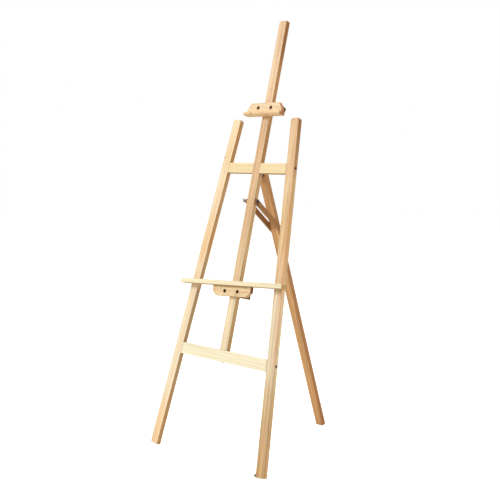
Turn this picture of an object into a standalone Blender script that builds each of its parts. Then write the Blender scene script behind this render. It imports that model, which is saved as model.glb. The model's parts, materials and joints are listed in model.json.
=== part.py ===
"""Folding wooden tripod field easel, built as separate pieces in metres.

The two front legs, the crossbars and the mast lie in one plane that leans back.
Everything is laid out in that leaning frame: X to the viewer's right, Y from the
front faces towards the rear, Z up the slope. The rear leg, the brace, the tray
and the canvas clamp each hang from an empty on their own pivot or sliding line.
"""
import math

import bmesh
import bpy
from mathutils import Matrix, Vector

# ---- leaning front frame ----
LEAN = math.radians(12.884)
BATTEN_THICKNESS = 0.018
LEG_WIDTH = 0.033
LEG_RISE = 1.153
FOOT_HALF_SPREAD = 0.2441
TOP_HALF_SPREAD = 0.1284
LEG_TOP_CHAMFER = 0.005
MAST_WIDTH = 0.032
MAST_BOTTOM = 0.3607
MAST_TOP = 1.500
LOWER_BAR_BOTTOM = 0.3213
LOWER_BAR_TOP = 0.3604
UPPER_BAR_BOTTOM = 0.9635
UPPER_BAR_TOP = 0.9985
LAP_SCREW_Z = 0.968
EASED_EDGE = 0.0009
GAP = 0.0003

# ---- rear leg and its hinge ----
REAR_WIDTH = 0.032
REAR_OPEN_ANGLE = math.radians(34.75)
HINGE_Y = 0.0208
HINGE_Z = 0.975
REAR_FACE_OFFSET = 0.0026
REAR_TOP_DROP = 0.0010
LEAF_THICKNESS = 0.0012
LEAF_HALF_WIDTH = 0.0135
LEAF_START = 0.0027
BAR_LEAF_END = 0.0180
LEG_LEAF_END = 0.0190
BARREL_RADIUS = 0.0023
PIN_RADIUS = 0.0012
KNUCKLE_HALF = 0.0045
LEAF_SCREW_SPACING = 0.008
LEAF_HOLE_RADIUS = 0.0016
BAR_LEAF_SCREW_Z = 0.0110
LEG_LEAF_SCREW_Z = -0.0125

# ---- brace ----
BRACE_HEIGHT = 0.017
BRACE_THICKNESS = 0.008
BRACE_BOLT_Y = 0.009
BRACE_BOLT_Z = 0.8675
BRACE_PIVOT_DROP = 0.2190
BRACE_TAIL = 0.016
NOTCH_ANGLE = math.radians(48.0)
NOTCH_HALF_WIDTH = 0.0037
NOTCH_MOUTH_HALF_WIDTH = 0.0050
NOTCH_LENGTH = 0.022

# ---- fasteners ----
BOLT_RADIUS = 0.003
RUNNING_CLEARANCE = 0.00008
WASHER_RADIUS = 0.008
WASHER_THICKNESS = 0.0012
HEAD_RADIUS = 0.0053
HEAD_HEIGHT = 0.0034
NUT_RADIUS = 0.0050
NUT_TOP_RADIUS = 0.0041
NUT_HEIGHT = 0.0075
WING_REACH = 0.0115
WING_RISE = 0.0105
LOCK_NUT_RADIUS = 0.0057
SCREW_HEAD_RADIUS = 0.0045
SCREW_HEAD_HEIGHT = 0.0024
SCREW_RADIUS = 0.0021
SIDE_SCREW_LENGTH = 0.062
FOOT_SCREW_LENGTH = 0.070
LAP_SCREW_LENGTH = 0.0145
LAP_SCREW = {"head": 0.0034, "height": 0.0014, "shank": 0.0016}
HINGE_SCREW = {"head": 0.0026, "height": 0.0008, "shank": 0.0013}
HINGE_SCREW_IN_BAR = 0.0085
HINGE_SCREW_IN_LEG = 0.0130
END_CLEARANCE = 0.0006
LOCK_NUT_HEIGHT = 0.005
ROUND_SIDES = 16

# ---- canvas clamp ----
CLAMP_Z = 1.187
BLOCK_DEPTH = 0.015
REAR_BLOCK_DEPTH = 0.010
CLAMP_BOLT_X = 0.028
COUNTERBORE_RADIUS = 0.0063
COUNTERBORE_DEPTH = 0.006
LIP_LEFT = -0.0800
LIP_RIGHT = 0.0818
LIP_THICKNESS = 0.0102
LIP_DEPTH = 0.029
CLAMP_BLOCK_BOTTOM = -0.0165
CLAMP_FRONT_OUTLINE = [
    (-0.0765, CLAMP_BLOCK_BOTTOM), (0.0765, CLAMP_BLOCK_BOTTOM), (0.0765, -0.0065),
    (0.0625, 0.0175), (-0.0625, 0.0175), (-0.0765, -0.0065)]
CLAMP_REAR_OUTLINE = [
    (-0.054, -0.0130), (0.054, -0.0130), (0.060, 0.0070), (0.032, 0.0265),
    (-0.032, 0.0265), (-0.060, 0.0070)]

# ---- tray ----
TRAY_Z = 0.5565
TRAY_ROLL = math.radians(-3.1)
TRAY_LEFT = -0.2290
TRAY_RIGHT = 0.2235
TRAY_DEPTH = 0.030
TRAY_BOTTOM = 0.0183
TRAY_THICKNESS = 0.0152
TRAY_SCREW_X = 0.050
TRAY_SCREW_LENGTH = 0.030
TRAY_SCREW_RADIUS = 0.0016
TRAY_SCREW_HEAD = 0.0036
COUNTERSINK_RADIUS = 0.0039
COUNTERSINK_DEPTH = 0.0022
TRAY_FRONT_OUTLINE = [
    (-0.068, -0.0165), (0.068, -0.0165), (0.085, -0.001), (0.085, TRAY_BOTTOM - GAP),
    (-0.085, TRAY_BOTTOM - GAP), (-0.085, -0.001)]
TRAY_REAR_OUTLINE = [
    (-0.040, -0.0130), (0.050, -0.0205), (0.052, -0.0185), (0.052, 0.0150),
    (-0.048, 0.0150), (-0.048, -0.0070)]
DOWEL_RADIUS = 0.003
DOWEL_HALF_LENGTH = 0.0075
DOWEL_X = 0.055

# ---- foot stud ----
STUD_RADIUS = 0.0047
STUD_LENGTH = 0.0075
STUD_Y = 0.0050
STUD_HEIGHT = 0.0050

PINE_PALE = (0.86, 0.74, 0.54)
PINE_WARM = (0.84, 0.66, 0.43)
PINE_TAN = (0.74, 0.53, 0.32)
BEECH = (0.80, 0.62, 0.42)
BLACK_STEEL = (0.03, 0.03, 0.032)
ZINC = (0.62, 0.62, 0.63)
BLACK_RUBBER = (0.015, 0.015, 0.015)

for old in list(bpy.data.objects):
    bpy.data.objects.remove(old, do_unlink=True)

pieces = []


def finish_for(name, colour, roughness, metallic):
    """A plain Principled finish of its own for each piece."""
    material = bpy.data.materials.new(name + "_finish")
    material.use_nodes = True
    shader = material.node_tree.nodes["Principled BSDF"]
    shader.inputs["Base Color"].default_value = (*colour, 1.0)
    shader.inputs["Roughness"].default_value = roughness
    shader.inputs["Metallic"].default_value = metallic
    material.diffuse_color = (*colour, 1.0)
    return material


def frame_at(name, parent, location=(0, 0, 0), rotation=(0, 0, 0)):
    """An empty that carries a group of pieces."""
    empty = bpy.data.objects.new(name, None)
    empty.empty_display_size = 0.02
    bpy.context.collection.objects.link(empty)
    empty.parent = parent
    empty.location = location
    empty.rotation_euler = rotation
    return empty


def to_object(name, bm, parent, location=(0, 0, 0), rotation=(0, 0, 0)):
    bmesh.ops.recalc_face_normals(bm, faces=bm.faces)
    mesh = bpy.data.meshes.new(name)
    bm.to_mesh(mesh)
    bm.free()
    obj = bpy.data.objects.new(name, mesh)
    bpy.context.collection.objects.link(obj)
    obj.parent = parent
    obj.location = location
    obj.rotation_euler = rotation
    return obj


def add_piece(name, bm, look, parent, location=(0, 0, 0), rotation=(0, 0, 0)):
    """Adds one physical piece; look is (colour, roughness, metallic)."""
    obj = to_object(name, bm, parent, location, rotation)
    obj.data.materials.append(finish_for(name, *look))
    pieces.append(obj)
    return obj


def prism(outline, axis, low, high):
    """Extrudes a closed outline along X or Y, from low to high."""
    bm = bmesh.new()
    corners = []
    for a, b in outline:
        point = (low, a, b) if axis == "X" else (a, low, b)
        corners.append(bm.verts.new(point))
    face = bm.faces.new(corners)
    step = (high - low, 0, 0) if axis == "X" else (0, high - low, 0)
    grown = bmesh.ops.extrude_face_region(bm, geom=[face])
    moved = [item for item in grown["geom"] if isinstance(item, bmesh.types.BMVert)]
    bmesh.ops.translate(bm, verts=moved, vec=step)
    return bm


def box(low, high):
    outline = [(low[0], low[2]), (high[0], low[2]), (high[0], high[2]), (low[0], high[2])]
    return prism(outline, "Y", low[1], high[1])


def turned(profile, sides=ROUND_SIDES, closed=False):
    """Spins a profile of (radius, height) points about Z."""
    bm = bmesh.new()
    points = [bm.verts.new((radius, 0, height)) for radius, height in profile]
    pairs = list(zip(points, points[1:]))
    if closed:
        pairs.append((points[-1], points[0]))
    edges = [bm.edges.new(pair) for pair in pairs]
    bmesh.ops.spin(
        bm, geom=points + edges, axis=(0, 0, 1), cent=(0, 0, 0), dvec=(0, 0, 0),
        angle=2 * math.pi, steps=sides, use_merge=True, use_duplicate=False)
    bmesh.ops.remove_doubles(bm, verts=bm.verts, dist=1e-6)
    return bm


def smooth(obj):
    for polygon in obj.data.polygons:
        polygon.use_smooth = True
    obj.data.set_sharp_from_angle(angle=math.radians(40))


def ease_edges(obj, width=EASED_EDGE):
    """Takes the sharpness off a sawn batten."""
    bevel = obj.modifiers.new("eased_edges", "BEVEL")
    bevel.width = width
    bevel.segments = 1
    bevel.limit_method = "ANGLE"
    bevel.angle_limit = math.radians(30)


def cut(obj, name, holes, parent):
    """Drills holes given as (start, end, radius) in the parent's frame."""
    bm = bmesh.new()
    for start, end, radius in holes:
        start, end = Vector(start), Vector(end)
        direction = end - start
        turn = Vector((0, 0, 1)).rotation_difference(direction).to_matrix().to_4x4()
        matrix = Matrix.Translation((start + end) / 2) @ turn
        bmesh.ops.create_cone(
            bm, cap_ends=True, segments=ROUND_SIDES, radius1=radius, radius2=radius,
            depth=direction.length, matrix=matrix)
    cut_with(obj, name, to_object(name, bm, parent))


def cut_with(obj, name, cutter):
    cutter.hide_render = True
    cutter.display_type = "WIRE"
    boolean = obj.modifiers.new(name, "BOOLEAN")
    boolean.operation = "DIFFERENCE"
    boolean.solver = "EXACT"
    boolean.object = cutter


# ---- looks ----
pale = (PINE_PALE, 0.55, 0.0)
warm = (PINE_WARM, 0.55, 0.0)
tan = (PINE_TAN, 0.6, 0.0)
beech = (BEECH, 0.6, 0.0)
black = (BLACK_STEEL, 0.4, 0.9)
zinc = (ZINC, 0.3, 1.0)
rubber = (BLACK_RUBBER, 0.8, 0.0)

easel = frame_at("easel_frame", None, rotation=(-LEAN, 0, 0))

# ---- front legs ----
splay = math.atan((FOOT_HALF_SPREAD - TOP_HALF_SPREAD) / LEG_RISE)
leg_length = LEG_RISE / math.cos(splay)
half_leg = LEG_WIDTH / 2
slant_half = half_leg / math.cos(splay)


def leg_centre(height):
    """Distance of a front leg's centre line from the middle at a height."""
    return FOOT_HALF_SPREAD - (FOOT_HALF_SPREAD - TOP_HALF_SPREAD) * height / LEG_RISE


def inner_face(height):
    return leg_centre(height) - slant_half - GAP


legs = {}
leg_frames = {}
for side, sign in (("left", -1), ("right", 1)):
    leg_frames[side] = frame_at(
        side + "_leg_line", easel, (sign * FOOT_HALF_SPREAD, 0, 0), (0, -sign * splay, 0))
    outline = [
        (-half_leg, 0), (half_leg, 0),
        (half_leg, leg_length - LEG_TOP_CHAMFER), (half_leg - LEG_TOP_CHAMFER, leg_length),
        (-half_leg + LEG_TOP_CHAMFER, leg_length), (-half_leg, leg_length - LEG_TOP_CHAMFER)]
    legs[side] = add_piece(
        side + "_front_leg", prism(outline, "Y", 0, BATTEN_THICKNESS), warm, leg_frames[side])
    ease_edges(legs[side])


# ---- crossbars, their ends sawn to the slope of the legs ----
def crossbar(name, bottom, top):
    outline = [
        (-inner_face(bottom), bottom), (inner_face(bottom), bottom),
        (inner_face(top), top), (-inner_face(top), top)]
    bar = add_piece(name, prism(outline, "Y", 0, BATTEN_THICKNESS), pale, easel)
    ease_edges(bar)
    return bar


lower_bar = crossbar("lower_crossbar", LOWER_BAR_BOTTOM, LOWER_BAR_TOP)
upper_bar = crossbar("upper_crossbar", UPPER_BAR_BOTTOM, UPPER_BAR_TOP)

# ---- mast, half-lapped into the upper crossbar ----
half_mast = MAST_WIDTH / 2
lap_depth = BATTEN_THICKNESS / 2
outline = [
    (-half_mast, MAST_BOTTOM), (half_mast, MAST_BOTTOM),
    (half_mast, MAST_TOP - LEG_TOP_CHAMFER / 2), (half_mast - LEG_TOP_CHAMFER / 2, MAST_TOP),
    (-half_mast + LEG_TOP_CHAMFER / 2, MAST_TOP), (-half_mast, MAST_TOP - LEG_TOP_CHAMFER / 2)]
mast = add_piece("mast", prism(outline, "Y", 0, BATTEN_THICKNESS), warm, easel)
ease_edges(mast)

housing = to_object("crossbar_housing", box(
    (-half_mast - GAP, -0.01, UPPER_BAR_BOTTOM - 0.01),
    (half_mast + GAP, lap_depth + GAP / 2, UPPER_BAR_TOP + 0.01)), easel)
cut_with(upper_bar, "housing", housing)
lap = to_object("mast_lap", box(
    (-half_mast - 0.01, lap_depth - GAP / 2, UPPER_BAR_BOTTOM - GAP),
    (half_mast + 0.01, BATTEN_THICKNESS + 0.01, UPPER_BAR_TOP + GAP)), easel)
cut_with(mast, "lap", lap)


# ---- turned fasteners, each lying along its own local Z ----
def screw_profile(length, head=SCREW_HEAD_RADIUS, height=SCREW_HEAD_HEIGHT, shank=SCREW_RADIUS):
    """Domed head above zero, pointed shank below."""
    return [
        (0, height), (0.55 * head, 0.88 * height), (0.9 * head, 0.45 * height), (head, 0),
        (shank, 0), (shank, -length + 2 * shank), (0, -length)]


def aim(direction):
    """Rotation that turns local Z into a direction."""
    return Vector((0, 0, 1)).rotation_difference(Vector(direction)).to_euler()


def add_screw(name, parent, seat, out, length, look=black, **sizes):
    """A domed screw whose head sits on seat and points out."""
    screw = add_piece(name, turned(screw_profile(length, **sizes)), look, parent, seat, aim(out))
    smooth(screw)
    return screw


def add_bolt(name, parent, seat, out, length, look=black):
    profile = [
        (0, HEAD_HEIGHT), (0.6 * HEAD_RADIUS, 0.86 * HEAD_HEIGHT),
        (0.93 * HEAD_RADIUS, 0.42 * HEAD_HEIGHT), (HEAD_RADIUS, 0),
        (BOLT_RADIUS, 0), (BOLT_RADIUS, -length + 0.0006), (BOLT_RADIUS - 0.0006, -length),
        (0, -length)]
    bolt = add_piece(name, turned(profile), look, parent, seat, aim(out))
    smooth(bolt)
    return bolt


def add_washer(name, parent, seat, out, radius=WASHER_RADIUS):
    """A washer whose lower face sits on seat."""
    bore = BOLT_RADIUS + GAP
    profile = [(bore, 0), (radius, 0), (radius, WASHER_THICKNESS), (bore, WASHER_THICKNESS)]
    washer = add_piece(name, turned(profile, closed=True), zinc, parent, seat, aim(out))
    smooth(washer)
    return washer


def add_wing_nut(name, parent, seat, out, spin):
    """A wing nut whose base sits on seat, its wings spun about the bolt."""
    bore = BOLT_RADIUS + RUNNING_CLEARANCE
    profile = [(bore, 0), (NUT_RADIUS, 0), (NUT_TOP_RADIUS, NUT_HEIGHT), (bore, NUT_HEIGHT)]
    bm = turned(profile, closed=True)
    step = 2 * math.pi / ROUND_SIDES
    for sign in (-1, 1):
        root = []
        for face in bm.faces:
            centre = face.calc_center_median()
            outside = math.hypot(centre.x, centre.y) > bore + 0.0006
            upright = abs(face.normal.z) < 0.5
            bearing = math.atan2(centre.y, sign * centre.x)
            if outside and upright and abs(bearing) < step:
                root.append(face)
        for reach, low, high, thickness in (
                (0.62, 0.22, 0.92, 0.72), (0.88, 0.52, 1.0, 0.55), (1.0, 0.72, 0.97, 0.38)):
            grown = bmesh.ops.extrude_face_region(bm, geom=root)
            verts = [g for g in grown["geom"] if isinstance(g, bmesh.types.BMVert)]
            bmesh.ops.delete(bm, geom=root, context="FACES")
            root = [g for g in grown["geom"] if isinstance(g, bmesh.types.BMFace)]
            middle = sum(v.co.z for v in verts) / len(verts)
            for v in verts:
                side = 0.0 if abs(v.co.y) < 0.0004 else math.copysign(1.0, v.co.y)
                v.co.x = sign * (WING_REACH * reach)
                v.co.y = side * 0.0019 * thickness
                v.co.z = (high if v.co.z > middle else low) * WING_RISE
    nut = add_piece(name, bm, zinc, parent)
    turn = Matrix.Translation(seat) @ aim(out).to_matrix().to_4x4() @ Matrix.Rotation(spin, 4, "Z")
    nut.matrix_local = turn
    smooth(nut)
    return nut


# ---- crossbar screws, driven square through each leg ----
for side, sign in (("left", -1), ("right", 1)):
    for level, bar, bottom, top in (
            ("upper", upper_bar, UPPER_BAR_BOTTOM, UPPER_BAR_TOP),
            ("lower", lower_bar, LOWER_BAR_BOTTOM, LOWER_BAR_TOP)):
        along = (bottom + top) / 2 / math.cos(splay) + half_leg * math.tan(splay)
        seat = Vector((sign * half_leg, BATTEN_THICKNESS / 2, along))
        out = Vector((sign, 0, 0))
        add_screw(f"{level}_{side}_crossbar_screw", leg_frames[side], seat + out * GAP, out,
                  SIDE_SCREW_LENGTH)
        hole = (seat + out * 0.01, seat - out * (SIDE_SCREW_LENGTH + 0.002), SCREW_RADIUS + GAP)
        cut(legs[side], f"{level}_screw_hole", [hole], leg_frames[side])
        cut(bar, f"{side}_screw_hole", [hole], leg_frames[side])

# ---- screw up through the lower crossbar into the mast's foot ----
foot_seat = Vector((0, BATTEN_THICKNESS / 2, LOWER_BAR_BOTTOM - GAP))
add_screw("mast_foot_screw", easel, foot_seat, (0, 0, -1), FOOT_SCREW_LENGTH, zinc)
foot_hole = (foot_seat - Vector((0, 0, 0.01)),
             foot_seat + Vector((0, 0, FOOT_SCREW_LENGTH + 0.002)), SCREW_RADIUS + GAP)
cut(lower_bar, "mast_screw_hole", [foot_hole], easel)
cut(mast, "foot_screw_hole", [foot_hole], easel)

# ---- screw through the lap, from behind, below the hinge ----
lap_seat = Vector((0, BATTEN_THICKNESS + GAP, LAP_SCREW_Z))
add_screw("mast_lap_screw", easel, lap_seat, (0, 1, 0), LAP_SCREW_LENGTH, zinc, **LAP_SCREW)
lap_hole = (lap_seat + Vector((0, 0.01, 0)),
            lap_seat - Vector((0, LAP_SCREW_LENGTH + END_CLEARANCE, 0)), LAP_SCREW["shank"] + GAP)
cut(upper_bar, "lap_screw_hole", [lap_hole], easel)
cut(mast, "lap_screw_hole", [lap_hole], easel)

# ---- rear leg, hung from the hinge pin ----
rear_frame = frame_at("rear_leg_pivot", easel, (0, HINGE_Y, HINGE_Z), (REAR_OPEN_ANGLE, 0, 0))
from_upright = REAR_OPEN_ANGLE - LEAN
ground = -(half_leg * math.sin(splay) * math.cos(LEAN) + BATTEN_THICKNESS * math.sin(LEAN))
pin_height = HINGE_Z * math.cos(LEAN) - HINGE_Y * math.sin(LEAN)
face_rise = REAR_FACE_OFFSET * math.sin(from_upright)
rear_length = (pin_height + face_rise - ground) / math.cos(from_upright)
rear_back = REAR_FACE_OFFSET + BATTEN_THICKNESS
rear_leg = add_piece("rear_leg", box(
    (-REAR_WIDTH / 2, REAR_FACE_OFFSET, -rear_length),
    (REAR_WIDTH / 2, rear_back, -REAR_TOP_DROP)), tan, rear_frame)
ease_edges(rear_leg)


# ---- hinge: two leaves and a pin ----
def turn_of(a, b, c):
    return (b[0] - a[0]) * (c[1] - a[1]) - (b[1] - a[1]) * (c[0] - a[0])


def hull(points):
    """Convex outline round a few points, anticlockwise."""
    points = sorted(points)
    chains = []
    for run in (points, points[::-1]):
        chain = []
        for p in run:
            while len(chain) > 1 and turn_of(chain[-2], chain[-1], p) <= 0:
                chain.pop()
            chain.append(p)
        chains.append(chain[:-1])
    return chains[0] + chains[1]


def hinge_leaf(name, parent, near, way, end, knuckles, screw_z):
    """A plate up (way 1) or down (way -1) from the pin, with knuckles round the pin."""
    far = near + LEAF_THICKNESS
    low, high = sorted((way * LEAF_START, way * end))
    leaf = add_piece(name, box(
        (-LEAF_HALF_WIDTH, near, low), (LEAF_HALF_WIDTH, far, high)), black, parent)
    neck = way * (LEAF_START + LEAF_THICKNESS)
    outline = [(near, neck), (far, neck)]
    for i in range(ROUND_SIDES):
        angle = 2 * math.pi * i / ROUND_SIDES
        outline.append((BARREL_RADIUS * math.cos(angle), BARREL_RADIUS * math.sin(angle)))
    for number, (left, right) in enumerate(knuckles):
        knuckle = to_object(f"{name}_knuckle_{number}", prism(hull(outline), "X", left, right),
                            parent)
        knuckle.hide_render = True
        knuckle.display_type = "WIRE"
        union = leaf.modifiers.new(f"knuckle_{number}", "BOOLEAN")
        union.operation = "UNION"
        union.solver = "EXACT"
        union.object = knuckle
    pin_bore = PIN_RADIUS + RUNNING_CLEARANCE
    cut(leaf, name + "_pin_bore", [((-0.05, 0, 0), (0.05, 0, 0), pin_bore)], parent)
    holes = []
    for sign in (-1, 1):
        x = sign * LEAF_SCREW_SPACING
        holes.append(((x, near - 0.005, screw_z), (x, far + 0.005, screw_z), LEAF_HOLE_RADIUS))
    cut(leaf, name + "_screw_holes", holes, parent)


bar_leaf_near = BATTEN_THICKNESS + GAP - HINGE_Y
leg_leaf_near = REAR_FACE_OFFSET - GAP - LEAF_THICKNESS
hinge_frame = frame_at("hinge_line", easel, (0, HINGE_Y, HINGE_Z))
hinge_leaf(
    "hinge_leaf_on_crossbar", hinge_frame, bar_leaf_near, 1, BAR_LEAF_END,
    [(-LEAF_HALF_WIDTH, -KNUCKLE_HALF - GAP), (KNUCKLE_HALF + GAP, LEAF_HALF_WIDTH)],
    BAR_LEAF_SCREW_Z)
hinge_leaf(
    "hinge_leaf_on_rear_leg", rear_frame, leg_leaf_near, -1, LEG_LEAF_END,
    [(-KNUCKLE_HALF, KNUCKLE_HALF)], LEG_LEAF_SCREW_Z)
pin_half = LEAF_HALF_WIDTH + 0.0006
pin = add_piece(
    "hinge_pin",
    turned([(0, -pin_half), (PIN_RADIUS, -pin_half), (PIN_RADIUS, pin_half), (0, pin_half)]),
    zinc, hinge_frame, rotation=(0, math.pi / 2, 0))
smooth(pin)

for side, sign in (("left", -1), ("right", 1)):
    for place, parent, face, out_y, z, host, length in (
            ("crossbar", hinge_frame, bar_leaf_near + LEAF_THICKNESS, 1, BAR_LEAF_SCREW_Z,
             upper_bar, HINGE_SCREW_IN_BAR),
            ("leg", rear_frame, leg_leaf_near, -1, LEG_LEAF_SCREW_Z, rear_leg,
             HINGE_SCREW_IN_LEG)):
        out = Vector((0, out_y, 0))
        seat = Vector((sign * LEAF_SCREW_SPACING, face, z)) + out * GAP
        add_screw(f"hinge_screw_{place}_{side}", parent, seat, out, length, zinc, **HINGE_SCREW)
        hole = (seat + out * 0.002, seat - out * (length + END_CLEARANCE), LEAF_HOLE_RADIUS)
        cut(host, f"hinge_hole_{side}", [hole], parent)

# ---- brace: two strips pivoted on the rear leg, hooked over the mast bolt ----
pivot_y = REAR_FACE_OFFSET + BATTEN_THICKNESS / 2
pivot_in_frame = Vector((
    0,
    HINGE_Y + pivot_y * math.cos(REAR_OPEN_ANGLE) + BRACE_PIVOT_DROP * math.sin(REAR_OPEN_ANGLE),
    HINGE_Z + pivot_y * math.sin(REAR_OPEN_ANGLE) - BRACE_PIVOT_DROP * math.cos(REAR_OPEN_ANGLE)))
to_mast_bolt = Vector((0, BRACE_BOLT_Y, BRACE_BOLT_Z)) - pivot_in_frame
brace_slope = math.atan2(to_mast_bolt.z, -to_mast_bolt.y)
brace_reach = to_mast_bolt.length
brace_frame = frame_at(
    "brace_pivot", rear_frame, (0, pivot_y, -BRACE_PIVOT_DROP),
    (-brace_slope - REAR_OPEN_ANGLE, 0, 0))
half_height = BRACE_HEIGHT / 2
outline = [(BRACE_TAIL, -half_height + 0.004), (BRACE_TAIL, half_height - 0.004),
           (BRACE_TAIL - 0.004, half_height)]
for i in range(9):
    angle = math.radians(90 + 22.5 * i)
    outline.append((-brace_reach + half_height * math.cos(angle), half_height * math.sin(angle)))
outline.append((BRACE_TAIL - 0.004, -half_height))
notch_run = Vector((math.cos(NOTCH_ANGLE), -math.sin(NOTCH_ANGLE)))
notch_side = Vector((notch_run.y, -notch_run.x))
notch_outline = []
for i in range(7):
    angle = math.radians(30 * i)
    offset = notch_side * math.cos(angle) - notch_run * math.sin(angle)
    notch_outline.append((-brace_reach + NOTCH_HALF_WIDTH * offset.x, NOTCH_HALF_WIDTH * offset.y))
for sign in (-1, 1):
    mouth = notch_run * NOTCH_LENGTH + notch_side * sign * NOTCH_MOUTH_HALF_WIDTH
    notch_outline.append((-brace_reach + mouth.x, mouth.y))
strip_in = REAR_WIDTH / 2 + GAP
strip_out = strip_in + BRACE_THICKNESS
for side, sign in (("left", -1), ("right", 1)):
    low, high = sorted((sign * strip_in, sign * strip_out))
    strip = add_piece(side + "_brace_strip", prism(outline, "X", low, high), tan, brace_frame)
    ease_edges(strip, 0.0006)
    notch = to_object(side + "_hook_notch", prism(notch_outline, "X", low - 0.002, high + 0.002),
                      brace_frame)
    cut_with(strip, "hook_notch", notch)
    cut(strip, "pivot_hole",
        [((low - 0.002, 0, 0), (high + 0.002, 0, 0), BOLT_RADIUS + RUNNING_CLEARANCE)], brace_frame)

# bolts through the mast and through the rear leg
washer_seat = strip_out + GAP
head_seat = washer_seat + WASHER_THICKNESS + GAP
nut_seat = washer_seat + WASHER_THICKNESS + GAP
bolt_length = head_seat + nut_seat + NUT_HEIGHT + 0.006
mast_bolt = Vector((0, BRACE_BOLT_Y, BRACE_BOLT_Z))
right_way = Vector((1, 0, 0))
add_bolt("brace_bolt_in_mast", easel, mast_bolt + right_way * head_seat, right_way, bolt_length)
add_washer("brace_washer_right", easel, mast_bolt + right_way * washer_seat, right_way)
add_washer("brace_washer_left", easel, mast_bolt - right_way * washer_seat, -right_way)
cut(mast, "brace_bolt_hole",
    [(mast_bolt - right_way * 0.03, mast_bolt + right_way * 0.03, BOLT_RADIUS + GAP)], easel)
brace_nut_frame = frame_at("brace_wing_nut_pivot", easel, mast_bolt)
add_wing_nut("brace_wing_nut", brace_nut_frame, -right_way * nut_seat, -right_way,
             math.radians(-60))

leg_bolt = Vector((0, pivot_y, -BRACE_PIVOT_DROP))
leg_bolt_length = head_seat + nut_seat + LOCK_NUT_HEIGHT + 0.003
add_bolt("brace_bolt_in_rear_leg", rear_frame, leg_bolt + right_way * head_seat, right_way,
         leg_bolt_length)
add_washer("rear_leg_washer_right", rear_frame, leg_bolt + right_way * washer_seat, right_way)
add_washer("rear_leg_washer_left", rear_frame, leg_bolt - right_way * washer_seat, -right_way)
hexagon = []
for i in range(6):
    angle = math.radians(60 * i)
    hexagon.append((leg_bolt.y + LOCK_NUT_RADIUS * math.cos(angle),
                    leg_bolt.z + LOCK_NUT_RADIUS * math.sin(angle)))
lock_nut = add_piece("rear_leg_lock_nut",
                     prism(hexagon, "X", -nut_seat - LOCK_NUT_HEIGHT, -nut_seat), zinc, rear_frame)
cut(lock_nut, "lock_nut_bore",
    [(leg_bolt - right_way * 0.05, leg_bolt, BOLT_RADIUS + GAP)], rear_frame)
cut(rear_leg, "brace_bolt_hole",
    [(leg_bolt - right_way * 0.03, leg_bolt + right_way * 0.03, BOLT_RADIUS + GAP)], rear_frame)


# ---- sliding grips: a front block, a rear block and two bolts with wing nuts ----
def grip(prefix, parent, front_outline, rear_outline, look, nut_spin):
    """Clamps the mast between two blocks; bolts run either side of the mast."""
    front = add_piece(prefix + "_front_block", prism(front_outline, "Y", -BLOCK_DEPTH, -GAP),
                      look, parent)
    ease_edges(front)
    rear_face = BATTEN_THICKNESS + GAP
    rear_end = rear_face + REAR_BLOCK_DEPTH
    rear = add_piece(prefix + "_rear_block", prism(rear_outline, "Y", rear_face, rear_end),
                     look, parent)
    ease_edges(rear)
    back = Vector((0, 1, 0))
    recess = -BLOCK_DEPTH + COUNTERBORE_DEPTH
    bores = []
    for side, sign in (("left", -1), ("right", 1)):
        x = sign * CLAMP_BOLT_X
        seat = Vector((x, recess - GAP, 0))
        reach = rear_end + GAP + WASHER_THICKNESS + GAP + NUT_HEIGHT + 0.005 - seat.y
        add_bolt(f"{prefix}_bolt_{side}", parent, seat, -back, reach)
        add_washer(f"{prefix}_washer_{side}", parent, (x, rear_end + GAP, 0), back)
        pivot = frame_at(f"{prefix}_wing_nut_{side}_pivot", parent, (x, 0, 0))
        nut_base = Vector((0, rear_end + 2 * GAP + WASHER_THICKNESS, 0))
        add_wing_nut(f"{prefix}_wing_nut_{side}", pivot, nut_base, back, nut_spin * sign)
        bores.append(((x, -BLOCK_DEPTH - 0.01, 0), (x, recess, 0), COUNTERBORE_RADIUS))
        bores.append(((x, -BLOCK_DEPTH - 0.01, 0), (x, rear_end + 0.01, 0), BOLT_RADIUS + GAP))
    cut(front, prefix + "_head_recesses", bores[0::2], parent)
    cut(front, prefix + "_bolt_holes", bores[1::2], parent)
    cut(rear, prefix + "_rear_holes", bores[1::2], parent)
    return front


# canvas clamp near the top of the mast
clamp = frame_at("canvas_clamp_carriage", easel, (0, 0, CLAMP_Z))
clamp_front = grip("clamp", clamp, CLAMP_FRONT_OUTLINE, CLAMP_REAR_OUTLINE, warm,
                   math.radians(25))
lip_top = CLAMP_BLOCK_BOTTOM - GAP
lip_bottom = lip_top - LIP_THICKNESS
lip = add_piece("clamp_lip", box(
    (LIP_LEFT, -LIP_DEPTH, lip_bottom), (LIP_RIGHT, -GAP, lip_top)), warm, clamp)
ease_edges(lip)
for side, sign in (("left", -1), ("right", 1)):
    centre = Vector((sign * DOWEL_X, -BLOCK_DEPTH / 2, lip_top))
    dowel = add_piece(f"clamp_dowel_{side}", turned(
        [(0, -DOWEL_HALF_LENGTH), (DOWEL_RADIUS, -DOWEL_HALF_LENGTH), (DOWEL_RADIUS, DOWEL_HALF_LENGTH),
         (0, DOWEL_HALF_LENGTH)]), beech, clamp, centre)
    smooth(dowel)
    reach = Vector((0, 0, DOWEL_HALF_LENGTH + GAP))
    hole = (centre - reach, centre + reach, DOWEL_RADIUS + GAP)
    cut(lip, f"dowel_hole_{side}", [hole], clamp)
    cut(clamp_front, f"dowel_hole_{side}", [hole], clamp)

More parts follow.
